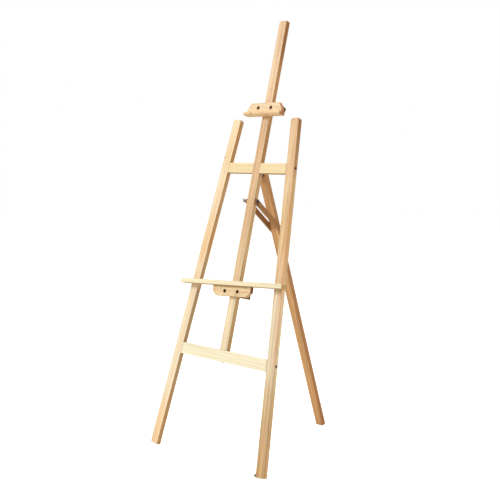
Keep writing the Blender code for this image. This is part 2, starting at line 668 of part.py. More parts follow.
# tray: a long ledge screwed down on its grip, a little out of level
tray = frame_at("tray_carriage", easel, (0, 0, TRAY_Z), (0, TRAY_ROLL, 0))
tray_front = grip("tray", tray, TRAY_FRONT_OUTLINE, TRAY_REAR_OUTLINE, pale, math.radians(-20))
ledge = add_piece("tray_ledge", box(
    (TRAY_LEFT, -TRAY_DEPTH, TRAY_BOTTOM),
    (TRAY_RIGHT, -GAP, TRAY_BOTTOM + TRAY_THICKNESS)), pale, tray)
ease_edges(ledge)
ledge_top = TRAY_BOTTOM + TRAY_THICKNESS
flat_head = [
    (0, 0), (TRAY_SCREW_HEAD, 0), (TRAY_SCREW_HEAD, -GAP), (TRAY_SCREW_RADIUS, -COUNTERSINK_DEPTH),
    (TRAY_SCREW_RADIUS, -TRAY_SCREW_LENGTH + 2 * TRAY_SCREW_RADIUS), (0, -TRAY_SCREW_LENGTH)]
countersink = [
    (0, 0.004), (COUNTERSINK_RADIUS, 0.004), (COUNTERSINK_RADIUS, -2 * GAP),
    (TRAY_SCREW_RADIUS + GAP, -COUNTERSINK_DEPTH - GAP), (0, -COUNTERSINK_DEPTH - GAP)]
for side, sign in (("left", -1), ("right", 1)):
    seat = Vector((sign * TRAY_SCREW_X, -BLOCK_DEPTH / 2, ledge_top - GAP))
    screw = add_piece(f"tray_screw_{side}", turned(flat_head), zinc, tray, seat)
    smooth(screw)
    sink = to_object(f"tray_countersink_{side}", turned(countersink), tray, seat)
    cut_with(ledge, f"countersink_{side}", sink)
    hole = (seat + Vector((0, 0, 0.01)), seat - Vector((0, 0, TRAY_SCREW_LENGTH + END_CLEARANCE)),
            TRAY_SCREW_RADIUS + GAP)
    cut(ledge, f"screw_hole_{side}", [hole], tray)
    cut(tray_front, f"screw_hole_{side}", [hole], tray)

# ---- rubber stud on the inner side of the right foot ----
stud_seat = Vector((-half_leg - GAP, STUD_Y, STUD_HEIGHT))
stud = add_piece("right_foot_stud", turned(
    [(0, STUD_LENGTH), (0.6 * STUD_RADIUS, 0.88 * STUD_LENGTH),
     (0.92 * STUD_RADIUS, 0.5 * STUD_LENGTH), (STUD_RADIUS, 0), (0, 0)]),
    rubber, leg_frames["right"], stud_seat, aim((-1, 0, 0)))
smooth(stud)


# ---- stand the easel on the floor, centred over the origin ----
def settle(root, parts):
    bpy.context.view_layer.update()
    depsgraph = bpy.context.evaluated_depsgraph_get()
    points = []
    for part in parts:
        shown = part.evaluated_get(depsgraph)
        points += [shown.matrix_world @ v.co for v in shown.data.vertices]
    low = Vector(min(p[i] for p in points) for i in range(3))
    high = Vector(max(p[i] for p in points) for i in range(3))
    root.location = (-(low.x + high.x) / 2, -(low.y + high.y) / 2, -low.z)
    bpy.context.view_layer.update()


settle(easel, pieces)
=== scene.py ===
"""Looks of the folding tripod field easel: bare pine battens, steel fasteners, a rubber stud.

Lengths are metres. Wooden pieces are built in the easel's leaning frame (X to the right,
Y to the rear, Z up the slope) and keep an origin whose Z runs along their own grain, so
that the growth rings, fibres and end grain follow each batten.
"""
import math

import bmesh
import bpy
from mathutils import Matrix, Vector
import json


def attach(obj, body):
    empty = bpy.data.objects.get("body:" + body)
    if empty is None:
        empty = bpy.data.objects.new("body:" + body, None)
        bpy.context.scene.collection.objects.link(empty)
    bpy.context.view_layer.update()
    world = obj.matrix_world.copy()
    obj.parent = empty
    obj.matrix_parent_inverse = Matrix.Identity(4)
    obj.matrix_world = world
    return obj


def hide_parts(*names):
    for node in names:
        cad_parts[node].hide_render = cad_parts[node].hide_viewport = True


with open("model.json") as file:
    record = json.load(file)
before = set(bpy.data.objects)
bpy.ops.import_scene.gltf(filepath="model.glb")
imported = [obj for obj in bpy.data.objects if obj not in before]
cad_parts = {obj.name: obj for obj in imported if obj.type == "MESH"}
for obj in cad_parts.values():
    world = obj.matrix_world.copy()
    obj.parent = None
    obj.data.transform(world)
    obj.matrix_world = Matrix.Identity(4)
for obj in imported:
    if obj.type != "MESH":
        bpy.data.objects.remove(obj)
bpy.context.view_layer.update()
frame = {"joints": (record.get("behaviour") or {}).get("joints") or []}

# ---- sizes shared with the solids ----
BATTEN = 0.018
GAP = 0.0003
LEG_WIDTH = 0.033
LEG_RISE = 1.153
FOOT_HALF_SPREAD = 0.2441
TOP_HALF_SPREAD = 0.1284
MAST_WIDTH = 0.032
MAST_BOTTOM = 0.3607
MAST_TOP = 1.500
MAST_LENGTH = 1.139
HINGE_Y = 0.0208
HINGE_Z = 0.975
REAR_FACE_OFFSET = 0.0026
REAR_TOP_DROP = 0.001
REAR_OPEN_ANGLE = math.radians(34.75)
BRACE_PIVOT_DROP = 0.219
CLAMP_Z = 1.187
TRAY_Z = 0.5565
TRAY_ROLL = math.radians(-3.1)
BOLT_RADIUS = 0.003
WASHER_THICKNESS = 0.0012

# ---- frames, from the joints of the model ----
joints = {joint["name"]: joint for joint in frame["joints"]}
up_slope = Vector(joints["tray_slide"]["axis"]).normalized()
lean_angle = math.atan2(up_slope.y, up_slope.z)
fold_pin = Vector(joints["rear_leg_fold"]["pos_m"])
brace_pin = Vector(joints["brace_swing"]["pos_m"])
mast_pin = Vector(joints["brace_wing_nut_turn"]["pos_m"])
tilt = Matrix.Rotation(-lean_angle, 4, "X")
lean = Matrix.Translation(fold_pin - tilt @ Vector((0, HINGE_Y, HINGE_Z))) @ tilt
rear = Matrix.Translation(fold_pin) @ Matrix.Rotation(REAR_OPEN_ANGLE - lean_angle, 4, "X")
to_mast = mast_pin - brace_pin
brace_slope = math.atan2(to_mast.z, -to_mast.y)
brace = Matrix.Translation(brace_pin) @ Matrix.Rotation(-brace_slope, 4, "X")
brace_reach = to_mast.length
splay = math.atan((FOOT_HALF_SPREAD - TOP_HALF_SPREAD) / LEG_RISE)
leg_length = LEG_RISE / math.cos(splay)
half_leg = LEG_WIDTH / 2
half_mast = MAST_WIDTH / 2
clamp = lean @ Matrix.Translation((0, 0, CLAMP_Z))
tray = lean @ Matrix.Translation((0, 0, TRAY_Z)) @ Matrix.Rotation(TRAY_ROLL, 4, "Y")


def leg_line(sign):
    return lean @ Matrix.Translation((sign * FOOT_HALF_SPREAD, 0, 0)) @ Matrix.Rotation(
        -sign * splay, 4, "Y")


# ------------------------------------------------------------------ materials
class Tree:
    """Short calls for building one material's nodes."""

    def __init__(self, name):
        self.material = bpy.data.materials.new(name)
        self.material.use_nodes = True
        self.nodes = self.material.node_tree.nodes
        self.links = self.material.node_tree.links
        self.shader = self.nodes["Principled BSDF"]

    def node(self, kind, inputs=(), **settings):
        made = self.nodes.new("ShaderNode" + kind)
        for key, value in settings.items():
            setattr(made, key, value)
        for key, value in dict(inputs).items():
            self.put(made.inputs[key], value)
        return made

    def put(self, socket, value):
        if isinstance(value, bpy.types.NodeSocket):
            self.links.new(value, socket)
        else:
            socket.default_value = value

    def math(self, operation, a, b=0.0, c=0.0):
        made = self.node("Math", operation=operation)
        for socket, value in zip(made.inputs, (a, b, c)):
            self.put(socket, value)
        return made.outputs[0]

    def vector(self, operation, a, b=(0, 0, 0)):
        made = self.node("VectorMath", operation=operation)
        self.put(made.inputs[0], a)
        self.put(made.inputs["Scale" if operation == "SCALE" else 1], b)
        return made.outputs["Value" if operation in ("LENGTH", "DOT_PRODUCT") else 0]

    def noise(self, vector, scale, detail=2.0, roughness=0.5, distortion=0.0):
        stretched = self.vector("MULTIPLY", vector, scale)
        made = self.node("TexNoise", {
            "Vector": stretched, "Scale": 1.0, "Detail": detail, "Roughness": roughness,
            "Distortion": distortion})
        return made

    def ramp(self, value, stops, interpolation="EASE"):
        made = self.node("ValToRGB", {"Fac": value})
        made.color_ramp.interpolation = interpolation
        elements = made.color_ramp.elements
        while len(elements) < len(stops):
            elements.new(0.5)
        while len(elements) > len(stops):
            elements.remove(elements[-1])
        for element, (position, shade) in zip(elements, stops):
            element.position = position
            element.color = (*shade, 1) if isinstance(shade, tuple) else (shade, shade, shade, 1)
        return made.outputs["Color"]

    def mix(self, factor, a, b, blend="MIX"):
        made = self.node("Mix", data_type="RGBA", blend_type=blend)
        for index, value in ((0, factor), (6, a), (7, b)):
            if isinstance(value, tuple):
                value = (*value, 1)
            self.put(made.inputs[index], value)
        return made.outputs[2]

    def spread(self, value, low, high, to_low=0.0, to_high=1.0):
        made = self.node("MapRange", {
            "Value": value, "From Min": low, "From Max": high, "To Min": to_low,
            "To Max": to_high}, interpolation_type="SMOOTHSTEP")
        return made.outputs[0]


END_GRAIN = (0.66, 0.50, 0.40)
# painted shade: a far darker end tint for the tray block and both rear blocks, whose ends face away
# from the light
END_GRAIN_IN_PAINTED_SHADE = (0.30, 0.17, 0.13)
PLAIN = (1.0, 1.0, 1.0)
PLANER_PITCH = 0.0046


def pine(name, early, late, ring=0.0042, pith=(0.03, 0.05), drift=(0.012, -0.02), seed=0.0,
         contrast=0.8, blush=0.35, knots=(), core_depth=0.62, streaks=1.0, ends=END_GRAIN,
         length=1.0, zones=(), edge=()):
    """Sawn and sanded pine, as solid wood.

    Growth rings lie round a pith line at pith = (x, y), which drifts sideways by drift per
    metre of grain (local Z), so flat-sawn faces show arches and the ends show curved rings.
    knots are (height, bearing, radius): branches that run out from the pith. ends tints the
    end grain; the darkest end tint is painted shade, for ends that face away from the light.
    zones are (share of the length, tint) along the grain, as where heartwood comes in, and
    edge is the same for the narrow faces (local X) alone: painted shade on faces turned
    from the light, mixed with tone along the length.
    """
    t = Tree(name)
    place = t.node("TexCoord").outputs["Object"]
    shifted = t.vector("ADD", place, (seed * 1.7, seed * 0.9, seed * 2.3))

    # slow wander of the grain
    wander = t.noise(shifted, (9.0, 9.0, 1.6), detail=2.0).outputs["Color"]
    wander = t.vector("SUBTRACT", wander, (0.5, 0.5, 0.5))
    wander = t.vector("MULTIPLY", wander, (0.016, 0.016, 0.0))
    ripple = t.noise(shifted, (40.0, 40.0, 7.0), detail=1.0).outputs["Color"]
    ripple = t.vector("SUBTRACT", ripple, (0.5, 0.5, 0.5))
    ripple = t.vector("MULTIPLY", ripple, (0.0022, 0.0022, 0.0))
    bent = t.vector("ADD", t.vector("ADD", place, wander), ripple)
    xyz = t.node("SeparateXYZ", {"Vector": bent})
    pith_x = t.math("MULTIPLY_ADD", xyz.outputs["Z"], drift[0], pith[0])
    pith_y = t.math("MULTIPLY_ADD", xyz.outputs["Z"], drift[1], pith[1])
    x = t.math("SUBTRACT", xyz.outputs["X"], pith_x)
    y = t.math("SUBTRACT", xyz.outputs["Y"], pith_y)
    flat = t.node("CombineXYZ", {"X": x, "Y": y}).outputs[0]
    radius = t.vector("LENGTH", flat)

    # knots push the rings aside and have rings of their own
    core = None
    for height, bearing, size in knots:
        from_pith = t.node("CombineXYZ", {
            "X": x, "Y": y, "Z": t.math("SUBTRACT", xyz.outputs["Z"], height)}).outputs[0]
        way = Vector((math.cos(bearing), math.sin(bearing), 0.25)).normalized()
        along = t.math("MAXIMUM", t.vector("DOT_PRODUCT", from_pith, tuple(way)), 0.0)
        on_axis = t.node("VectorMath", {0: tuple(way)}, operation="SCALE")
        t.put(on_axis.inputs["Scale"], along)
        apart = t.vector("LENGTH", t.vector("SUBTRACT", from_pith, on_axis.outputs[0]))
        swell = t.spread(apart, 0.0, size * 3.4, 1.0, 0.0)
        radius = t.math("MULTIPLY_ADD", swell, size * 1.9, radius)
        here = t.spread(apart, size * 0.75, size * 1.05, 1.0, 0.0)
        core = here if core is None else t.math("MAXIMUM", core, here)
        knot_rings = t.math("FRACT", t.math("DIVIDE", apart, size * 0.26))
        radius = t.node("Mix", {0: here, 2: radius, 3: t.math("MULTIPLY", knot_rings, ring)},
                        data_type="FLOAT").outputs[0]

    # rings of uneven width; each has its own depth of colour
    age = t.math("DIVIDE", radius, ring)
    uneven = t.node("TexNoise", {"W": t.math("MULTIPLY_ADD", age, 0.43, seed), "Scale": 1.0,
                                 "Detail": 1.0}, noise_dimensions="1D")
    age = t.math("MULTIPLY_ADD", uneven.outputs[0], 1.5, age)
    year = t.math("FLOOR", age)
    depth = t.node("TexWhiteNoise", {"W": t.math("ADD", year, seed)}, noise_dimensions="1D")
    depth = t.math("MULTIPLY_ADD", depth.outputs["Value"], 0.55, 0.45)
    latewood = t.ramp(t.math("FRACT", age), [
        (0.0, 0.10), (0.06, 0.0), (0.45, 0.14), (0.80, 0.72), (0.94, 1.0), (1.0, 0.10)])
    latewood = t.math("MULTIPLY", latewood, t.math("MULTIPLY", depth, contrast))

    # fibres, pores and broad shifts of tone
    fibre = t.noise(shifted, (900.0, 900.0, 14.0), detail=3.0, roughness=0.62).outputs[0]
    streak = t.noise(shifted, (190.0, 190.0, 2.4), detail=2.0, roughness=0.6).outputs[0]
    band = t.noise(shifted, (34.0, 34.0, 1.1), detail=1.5).outputs[0]
    pore = t.noise(shifted, (1500.0, 1500.0, 46.0), detail=1.0).outputs[0]
    pore = t.spread(pore, 0.68, 0.78)

    colour = t.mix(latewood, early, late)
    pink = tuple(a * b for a, b in zip(late, (1.12, 0.86, 0.80)))
    colour = t.mix(t.spread(band, 0.45, 0.78, 0.0, blush), colour, pink)
    tone = t.math("ADD", t.spread(streak, 0.25, 0.75, 1 - 0.18 * streaks, 1 + 0.10 * streaks),
                  t.spread(fibre, 0.2, 0.8, -0.07 * streaks, 0.06 * streaks))
    colour = t.vector("SCALE", colour, tone)
    dark = tuple(c * 0.32 for c in late)
    colour = t.mix(t.math("MULTIPLY", pore, 0.55), colour, dark)
    if core is not None:
        colour = t.mix(t.math("MULTIPLY", core, core_depth), colour, tuple(c * 0.42 for c in late))

    # heartwood and sapwood stretches, with ragged ends
    ragged = t.math("MULTIPLY_ADD", streak, 0.16, t.math("MULTIPLY_ADD", band, 0.10, -0.13))
    share = t.math("ADD", t.math("MULTIPLY_ADD", xyz.outputs["Z"], 1 / length, 0.5), ragged)
    if zones:
        colour = t.vector("MULTIPLY", colour, t.ramp(share, zones))

    # sawn ends drink more dirt and look darker and redder, and the darkest end tint adds painted
    # shade; the narrow faces get the edge ramp, which is painted shade mixed with tone along the
    # length
    facing = t.node("SeparateXYZ", {"Vector": t.node("TexCoord").outputs["Normal"]})
    end = t.spread(t.math("ABSOLUTE", facing.outputs["Z"]), 0.55, 0.9)
    colour = t.mix(end, colour, t.vector("MULTIPLY", colour, ends))
    if edge:
        # painted shade: this mask picks the narrow faces, which the edge ramp darkens as if turned
        # from the light
        narrow = t.spread(t.math("ABSOLUTE", facing.outputs["X"]), 0.6, 0.9)
        colour = t.mix(narrow, colour, t.vector("MULTIPLY", colour, t.ramp(share, edge)))

    # rubbed arrises: a little paler
    rounded = t.node("Bevel", {"Radius": 0.0022}, samples=4).outputs[0]
    true_normal = t.node("NewGeometry").outputs["True Normal"]
    arris = t.math("SUBTRACT", 1.0, t.vector("DOT_PRODUCT", rounded, true_normal))
    scuff = t.noise(shifted, (120.0, 120.0, 30.0), detail=2.0).outputs[0]
    worn = t.math("MULTIPLY", t.spread(arris, 0.02, 0.22), t.spread(scuff, 0.35, 0.7, 0.2, 0.9))
    colour = t.mix(t.math("MULTIPLY", worn, 0.45), colour,
                   tuple(min(1.0, c * 1.12) for c in early))

    t.put(t.shader.inputs["Base Color"], colour)
    rough = t.math("MULTIPLY_ADD", fibre, 0.22, 0.44)
    rough = t.math("MULTIPLY_ADD", latewood, -0.10, rough)
    rough = t.math("MULTIPLY_ADD", end, 0.2, rough)
    t.put(t.shader.inputs["Roughness"], rough)
    t.shader.inputs["Specular IOR Level"].default_value = 0.32

    # planer ripples across the grain, raised latewood, open fibres
    planer = t.math("SINE", t.math("MULTIPLY", xyz.outputs["Z"], 2 * math.pi / PLANER_PITCH))
    relief = t.math("MULTIPLY_ADD", latewood, 0.35, t.math("MULTIPLY", fibre, 0.6))
    relief = t.math("MULTIPLY_ADD", planer, 0.035, relief)
    relief = t.math("MULTIPLY_ADD", pore, -0.5, relief)
    bump = t.node("Bump", {"Height": relief, "Strength": 0.45, "Distance": 0.00022})
    t.put(t.shader.inputs["Normal"], bump.outputs[0])
    return t.material


def metal(name, base, metallic, roughness, speck, grain=2600.0, patch=0.25):
    """Plated or blackened steel: fine speckle, soft patches and a slightly uneven skin."""
    t = Tree(name)
    place = t.node("TexCoord").outputs["Object"]
    fine = t.noise(place, (grain, grain, grain), detail=2.0).outputs[0]
    broad = t.noise(place, (140.0, 140.0, 140.0), detail=3.0, roughness=0.6).outputs[0]
    colour = t.mix(t.spread(broad, 0.35, 0.7, 0.0, patch), base, speck)
    colour = t.mix(t.spread(fine, 0.5, 0.75, 0.0, 0.35), colour, speck)
    rounded = t.node("Bevel", {"Radius": 0.0005}, samples=4).outputs[0]
    true_normal = t.node("NewGeometry").outputs["True Normal"]
    arris = t.math("SUBTRACT", 1.0, t.vector("DOT_PRODUCT", rounded, true_normal))
    worn = t.math("MULTIPLY", t.spread(arris, 0.03, 0.25), t.spread(broad, 0.4, 0.65, 0.1, 0.8))
    colour = t.mix(worn, colour, (0.45, 0.44, 0.43))
    t.put(t.shader.inputs["Base Color"], colour)
    t.shader.inputs["Metallic"].default_value = metallic
    rough = t.math("ADD", t.math("MULTIPLY_ADD", broad, 0.22, roughness - 0.11),
                   t.math("MULTIPLY", fine, 0.08))
    t.put(t.shader.inputs["Roughness"], rough)
    bump = t.node("Bump", {"Height": fine, "Strength": 0.25, "Distance": 0.00003})
    t.put(t.shader.inputs["Normal"], bump.outputs[0])
    return t.material


def rubber(name):
    t = Tree(name)
    place = t.node("TexCoord").outputs["Object"]
    fine = t.noise(place, (1800.0, 1800.0, 1800.0), detail=3.0).outputs[0]
    dust = t.noise(place, (320.0, 320.0, 320.0), detail=2.0).outputs[0]
    colour = t.mix(t.spread(dust, 0.5, 0.8, 0.0, 0.5), (0.006, 0.006, 0.0065),
                   (0.03, 0.028, 0.026))
    t.put(t.shader.inputs["Base Color"], colour)
    t.put(t.shader.inputs["Roughness"], t.math("MULTIPLY_ADD", fine, 0.2, 0.62))
    bump = t.node("Bump", {"Height": fine, "Strength": 0.4, "Distance": 0.0001})
    t.put(t.shader.inputs["Normal"], bump.outputs[0])
    return t.material


# ------------------------------------------------------------------ building
def to_object(name, bm):
    bmesh.ops.recalc_face_normals(bm, faces=bm.faces)
    mesh = bpy.data.meshes.new(name)
    bm.to_mesh(mesh)
    bm.free()
    made = bpy.data.objects.new(name, mesh)
    bpy.context.collection.objects.link(made)
    return made


def prism(outline, axis, low, high):
    """Extrudes a closed outline along X or Y."""
    bm = bmesh.new()
    corners = [bm.verts.new((low, a, b) if axis == "X" else (a, low, b)) for a, b in outline]
    face = bm.faces.new(corners)
    step = (high - low, 0, 0) if axis == "X" else (0, high - low, 0)
    grown = bmesh.ops.extrude_face_region(bm, geom=[face])["geom"]
    moved = [item for item in grown if isinstance(item, bmesh.types.BMVert)]
    bmesh.ops.translate(bm, verts=moved, vec=step)
    return bm


def box(low, high):
    outline = [(low[0], low[2]), (high[0], low[2]), (high[0], high[2]), (low[0], high[2])]
    return prism(outline, "Y", low[1], high[1])


def turned(profile, sides=32, closed=False):
    """Spins (radius, height) points about Z; a closed profile makes a ring."""
    bm = bmesh.new()
    points = [bm.verts.new((r, 0, z)) for r, z in profile]
    pairs = list(zip(points, points[1:] + ([points[0]] if closed else [])))
    edges = [bm.edges.new(pair) for pair in pairs]
    bmesh.ops.spin(bm, geom=points + edges, axis=(0, 0, 1), cent=(0, 0, 0), dvec=(0, 0, 0),
                   angle=2 * math.pi, steps=sides, use_merge=True, use_duplicate=False)
    bmesh.ops.remove_doubles(bm, verts=bm.verts, dist=1e-6)
    return bm


def aimed(seat, out):
    """A frame at seat whose Z points out."""
    turn = Vector((0, 0, 1)).rotation_difference(Vector(out)).to_matrix().to_4x4()
    return Matrix.Translation(seat) @ turn


def drill(start, end, radius, mouth=0.0, sides=32):
    """A round cutter from start to end, flared by mouth at start to break the hole's edge."""
    start, end = Vector(start), Vector(end)
    depth = (end - start).length
    rim = 0.002
    profile = [(0, -rim), (radius, -rim), (radius, depth), (0, depth)]
    if mouth:
        profile[1:2] = [(radius + mouth + rim, -rim), (radius, mouth)]
    cutter = to_object("cutter", turned(profile, sides))
    cutter.data.transform(aimed(start, end - start))
    return cutter


def combine(made, others, operation="DIFFERENCE"):
    for other in others:
        modifier = made.modifiers.new("combine", "BOOLEAN")
        modifier.operation = operation
        modifier.solver = "EXACT"
        modifier.object = other


def freeze(made, others=(), smooth_angle=38.0):
    """Applies the modifiers, removes the helpers and sets smooth shading by angle."""
    bpy.context.view_layer.update()
    graph = bpy.context.evaluated_depsgraph_get()
    mesh = bpy.data.meshes.new_from_object(made.evaluated_get(graph))
    made.modifiers.clear()
    old = made.data
    made.data = mesh
    bpy.data.meshes.remove(old)
    for other in others:
        bpy.data.objects.remove(other, do_unlink=True)
    for polygon in mesh.polygons:
        polygon.use_smooth = True
    mesh.set_sharp_from_angle(angle=math.radians(smooth_angle))
    weighted = made.modifiers.new("weighted", "WEIGHTED_NORMAL")
    weighted.keep_sharp = True


def round_edges(made, width, segments=3, angle=30.0):
    bevel = made.modifiers.new("round", "BEVEL")
    bevel.width = width
    bevel.segments = segments
    bevel.limit_method = "ANGLE"
    bevel.angle_limit = math.radians(angle)


def settle(made, place, node, body, material):
    """Puts a finished piece in place of its solid and lets it move with its body."""
    made.matrix_world = place
    made.data.materials.clear()
    made.data.materials.append(material)
    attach(made, body)
    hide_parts(node)
    return made


def wooden(node, bm, place, along, body, material, cutters=(), width=0.0013,
           middle=(0, 0, 0)):
    """A batten built in the frame place, with its grain along X, Z or any direction there."""
    made = to_object(node + "_wood", bm)
    round_edges(made, width)
    combine(made, cutters)
    freeze(made, cutters)
    along = Vector(along).normalized()
    side = Vector((0, 1, 0)) if abs(along.y) < 0.9 else Vector((1, 0, 0))
    across = side.cross(along).normalized()
    grain = Matrix((across, side, along)).transposed().to_4x4()
    grain.translation = Vector(middle)
    made.data.transform(grain.inverted())
    return settle(made, place @ grain, node, body, material)


# ------------------------------------------------------------------ wood
CREAM = (0.91, 0.86, 0.63)
TAN = (0.82, 0.50, 0.23)
RED_BROWN = (0.44, 0.235, 0.10)
LATE_PALE = (0.76, 0.53, 0.27)
LATE_WARM = (0.70, 0.40, 0.18)
LATE_TAN = (0.46, 0.22, 0.075)
LATE_DARK = (0.22, 0.10, 0.045)
# painted shade: darkens the narrow top and bottom faces of the cross pieces, which turn from the
# light
NARROW_FACE_PAINTED_SHADE = [(0.0, (0.62, 0.48, 0.36))]

left_pine = pine("left_leg_pine", (0.95, 0.86, 0.65), LATE_WARM, 0.0050, (0.045, 0.030),
                 (0.020, 0.035), 1.3, 0.55, 0.30, [(0.42, -2.5, 0.0035)], length=leg_length,
                 zones=[(0.0, (0.98, 0.84, 0.70)), (0.12, (1.0, 0.90, 0.80)), (0.17, PLAIN),
                        (0.54, PLAIN), (0.60, (0.95, 0.79, 0.62)), (0.66, (0.97, 0.86, 0.74)),
                        (0.74, (1.0, 0.95, 0.90)), (0.82, (1.0, 0.95, 0.90)),
                        (0.90, (0.91, 0.82, 0.70)), (1.0, (1.0, 0.92, 0.82))],
                 # edge: painted shade on the narrow side faces, darker over the lower half, with
                 # tone along the length
                 edge=[(0.0, (0.62, 0.50, 0.38)), (0.5, (0.60, 0.50, 0.38)),
                       (0.62, (0.78, 0.64, 0.50)), (0.8, (0.80, 0.66, 0.52)),
                       (1.0, (0.70, 0.56, 0.42))])
right_pine = pine("right_leg_pine", (0.96, 0.86, 0.64), LATE_WARM, 0.0041, (-0.020, 0.055),
                  (0.026, -0.018), 4.1, 0.60, 0.45, [(0.20, -1.7, 0.0042)], streaks=1.5,
                  length=leg_length,
                  zones=[(0.0, (0.72, 0.56, 0.39)), (0.10, (0.74, 0.60, 0.46)),
                         (0.19, (0.84, 0.74, 0.62)), (0.27, PLAIN), (0.48, PLAIN),
                         (0.56, (0.90, 0.80, 0.70)), (0.64, (0.84, 0.70, 0.54)),
                         (0.74, (0.82, 0.68, 0.52)), (0.81, (0.90, 0.76, 0.62)),
                         (0.92, (0.82, 0.67, 0.54)), (1.0, (0.80, 0.62, 0.49))],
                  # edge: painted shade on the narrow side faces, darker towards the top
                  edge=[(0.0, PLAIN), (0.80, PLAIN), (0.86, (0.75, 0.68, 0.62)),
                        (1.0, (0.56, 0.47, 0.40))])
mast_pine = pine("mast_pine", (0.91, 0.82, 0.59), LATE_WARM, 0.0044, (0.034, 0.042),
                 (-0.022, 0.02), 7.7, 0.58, 0.40, [(0.31, -2.0, 0.003), (-0.28, -1.4, 0.0034)],
                 streaks=1.2, length=MAST_LENGTH,
                 zones=[(0.0, PLAIN), (0.15, PLAIN), (0.27, (0.87, 0.77, 0.68)),
                        (0.40, (0.82, 0.69, 0.57)), (0.56, (0.84, 0.71, 0.61)),
                        (0.67, (0.80, 0.66, 0.54)), (0.75, (0.92, 0.82, 0.76)),
                        (0.83, (0.93, 0.86, 0.84)), (0.96, (0.85, 0.74, 0.68))],
                 # edge: painted shade on the narrow side faces, with tone along the length
                 edge=[(0.0, (0.64, 0.53, 0.38)), (0.20, (0.72, 0.60, 0.45)), (0.30, PLAIN),
                       (0.50, PLAIN), (0.58, (0.76, 0.62, 0.47)), (0.70, (0.86, 0.76, 0.62)),
                       (0.84, (0.80, 0.65, 0.50)), (0.94, (0.52, 0.40, 0.27))])
upper_pine = pine("upper_crossbar_pine", (0.87, 0.74, 0.45), LATE_PALE, 0.0052, (0.028, 0.030),
                  (0.05, 0.03), 11.2, 0.45, 0.15, streaks=0.6, edge=NARROW_FACE_PAINTED_SHADE)
lower_pine = pine("lower_crossbar_pine", (0.95, 0.92, 0.71), LATE_PALE, 0.0058, (-0.030, 0.034),
                  (0.03, -0.04), 15.9, 0.32, 0.08, [(0.118, -1.9, 0.0036)], streaks=0.6, edge=NARROW_FACE_PAINTED_SHADE)
rear_pine = pine("rear_leg_pine", TAN, LATE_TAN, 0.0037, (0.022, 0.040),
                 (-0.018, 0.03), 19.4, 0.85, 0.40, [(0.24, -1.2, 0.0038), (-0.16, -2.2, 0.003)],
                 # edge: painted shade on the narrow side faces
                 streaks=1.6, edge=[(0.0, (0.68, 0.66, 0.68))])
brace_pines = [
    pine(side + "_brace_pine", RED_BROWN, LATE_DARK, 0.0034, pith, (0.02, -0.02), seed, 0.7, 0.3)
    for side, pith, seed in (("left", (0.02, 0.03), 23.1), ("right", (-0.018, 0.036), 29.6))]
clamp_pine = pine("clamp_block_pine", (0.90, 0.75, 0.51), LATE_WARM, 0.0056, (0.016, 0.026),
                  (0.07, 0.10), 31.5, 0.50, 0.45, [(0.060, -1.8, 0.0040)],
                  # edge: painted shade on the narrow top and bottom faces
                  ends=(0.68, 0.47, 0.36), edge=[(0.0, (0.8, 0.62, 0.5))])
lip_pine = pine("clamp_lip_pine", (0.84, 0.62, 0.37), LATE_WARM, 0.0048, (-0.014, 0.028),
                (0.05, -0.08), 35.2, 0.90, 0.45, [(-0.058, -1.23, 0.0068)], core_depth=0.40)
# painted shade: the clamp's rear block, which sits in shade behind the front block, gets a dark
# copy of the pine
clamp_back_shaded_pine = pine("painted_shade_on_clamp_rear_block", (0.42, 0.23, 0.12), LATE_DARK, 0.0042, (0.02, -0.03),
                       (0.05, 0.04), 41.8, 0.7, 0.3, ends=END_GRAIN_IN_PAINTED_SHADE)
ledge_pine = pine("tray_ledge_pine", CREAM, LATE_PALE, 0.0075, (0.026, 0.060),
                  (0.010, 0.008), 44.4, 0.22, 0.08, streaks=0.45, ends=(0.70, 0.50, 0.36),
                  edge=NARROW_FACE_PAINTED_SHADE)
tray_pine = pine("tray_block_pine", (0.95, 0.83, 0.54), (0.80, 0.46, 0.20), 0.0062, (0.006, 0.020),
                 (0.14, -0.16), 48.7, 0.85, 0.40, [(-0.056, -1.87, 0.0075)], core_depth=0.16,
                 ends=END_GRAIN_IN_PAINTED_SHADE, edge=NARROW_FACE_PAINTED_SHADE)
# painted shade: the tray's rear block, which sits in shade behind the front block, gets a dark
# olive copy of the pine
tray_back_shaded_pine = pine("painted_shade_on_tray_rear_block", (0.34, 0.29, 0.18), LATE_DARK, 0.0042, (-0.02, -0.03),
                      (0.04, 0.05), 52.3, 0.5, 0.2, ends=END_GRAIN_IN_PAINTED_SHADE)

# front legs
CHAMFER = 0.005
SCREW_HOLE = 0.0024
HOLE_BREAK = 0.0003
LEG_HOLE_DEPTH = 0.04
leg_outline = [
    (-half_leg, 0), (half_leg, 0), (half_leg, leg_length - CHAMFER),
    (half_leg - CHAMFER, leg_length), (-half_leg + CHAMFER, leg_length),
    (-half_leg, leg_length - CHAMFER)]
BARS = {"upper": (0.9635, 0.9985), "lower": (0.3213, 0.3604)}


def bar_screw_height(level):
    bottom, top = BARS[level]
    return (bottom + top) / 2 / math.cos(splay) + half_leg * math.tan(splay)


for side, sign, material in (("left", -1, left_pine), ("right", 1, right_pine)):
    holes = []
    for level in BARS:
        seat = Vector((sign * half_leg, BATTEN / 2, bar_screw_height(level)))
        end = seat - Vector((sign * LEG_HOLE_DEPTH, 0, 0))
        holes.append(drill(seat, end, SCREW_HOLE, HOLE_BREAK))
    wooden(side + "_front_leg", prism(leg_outline, "Y", 0, BATTEN), leg_line(sign), (0, 0, 1),
           "frame", material, holes, middle=(0, BATTEN / 2, leg_length / 2))


# crossbars and mast
def inner_face(height):
    centre = FOOT_HALF_SPREAD - (FOOT_HALF_SPREAD - TOP_HALF_SPREAD) * height / LEG_RISE
    return centre - half_leg / math.cos(splay) - GAP


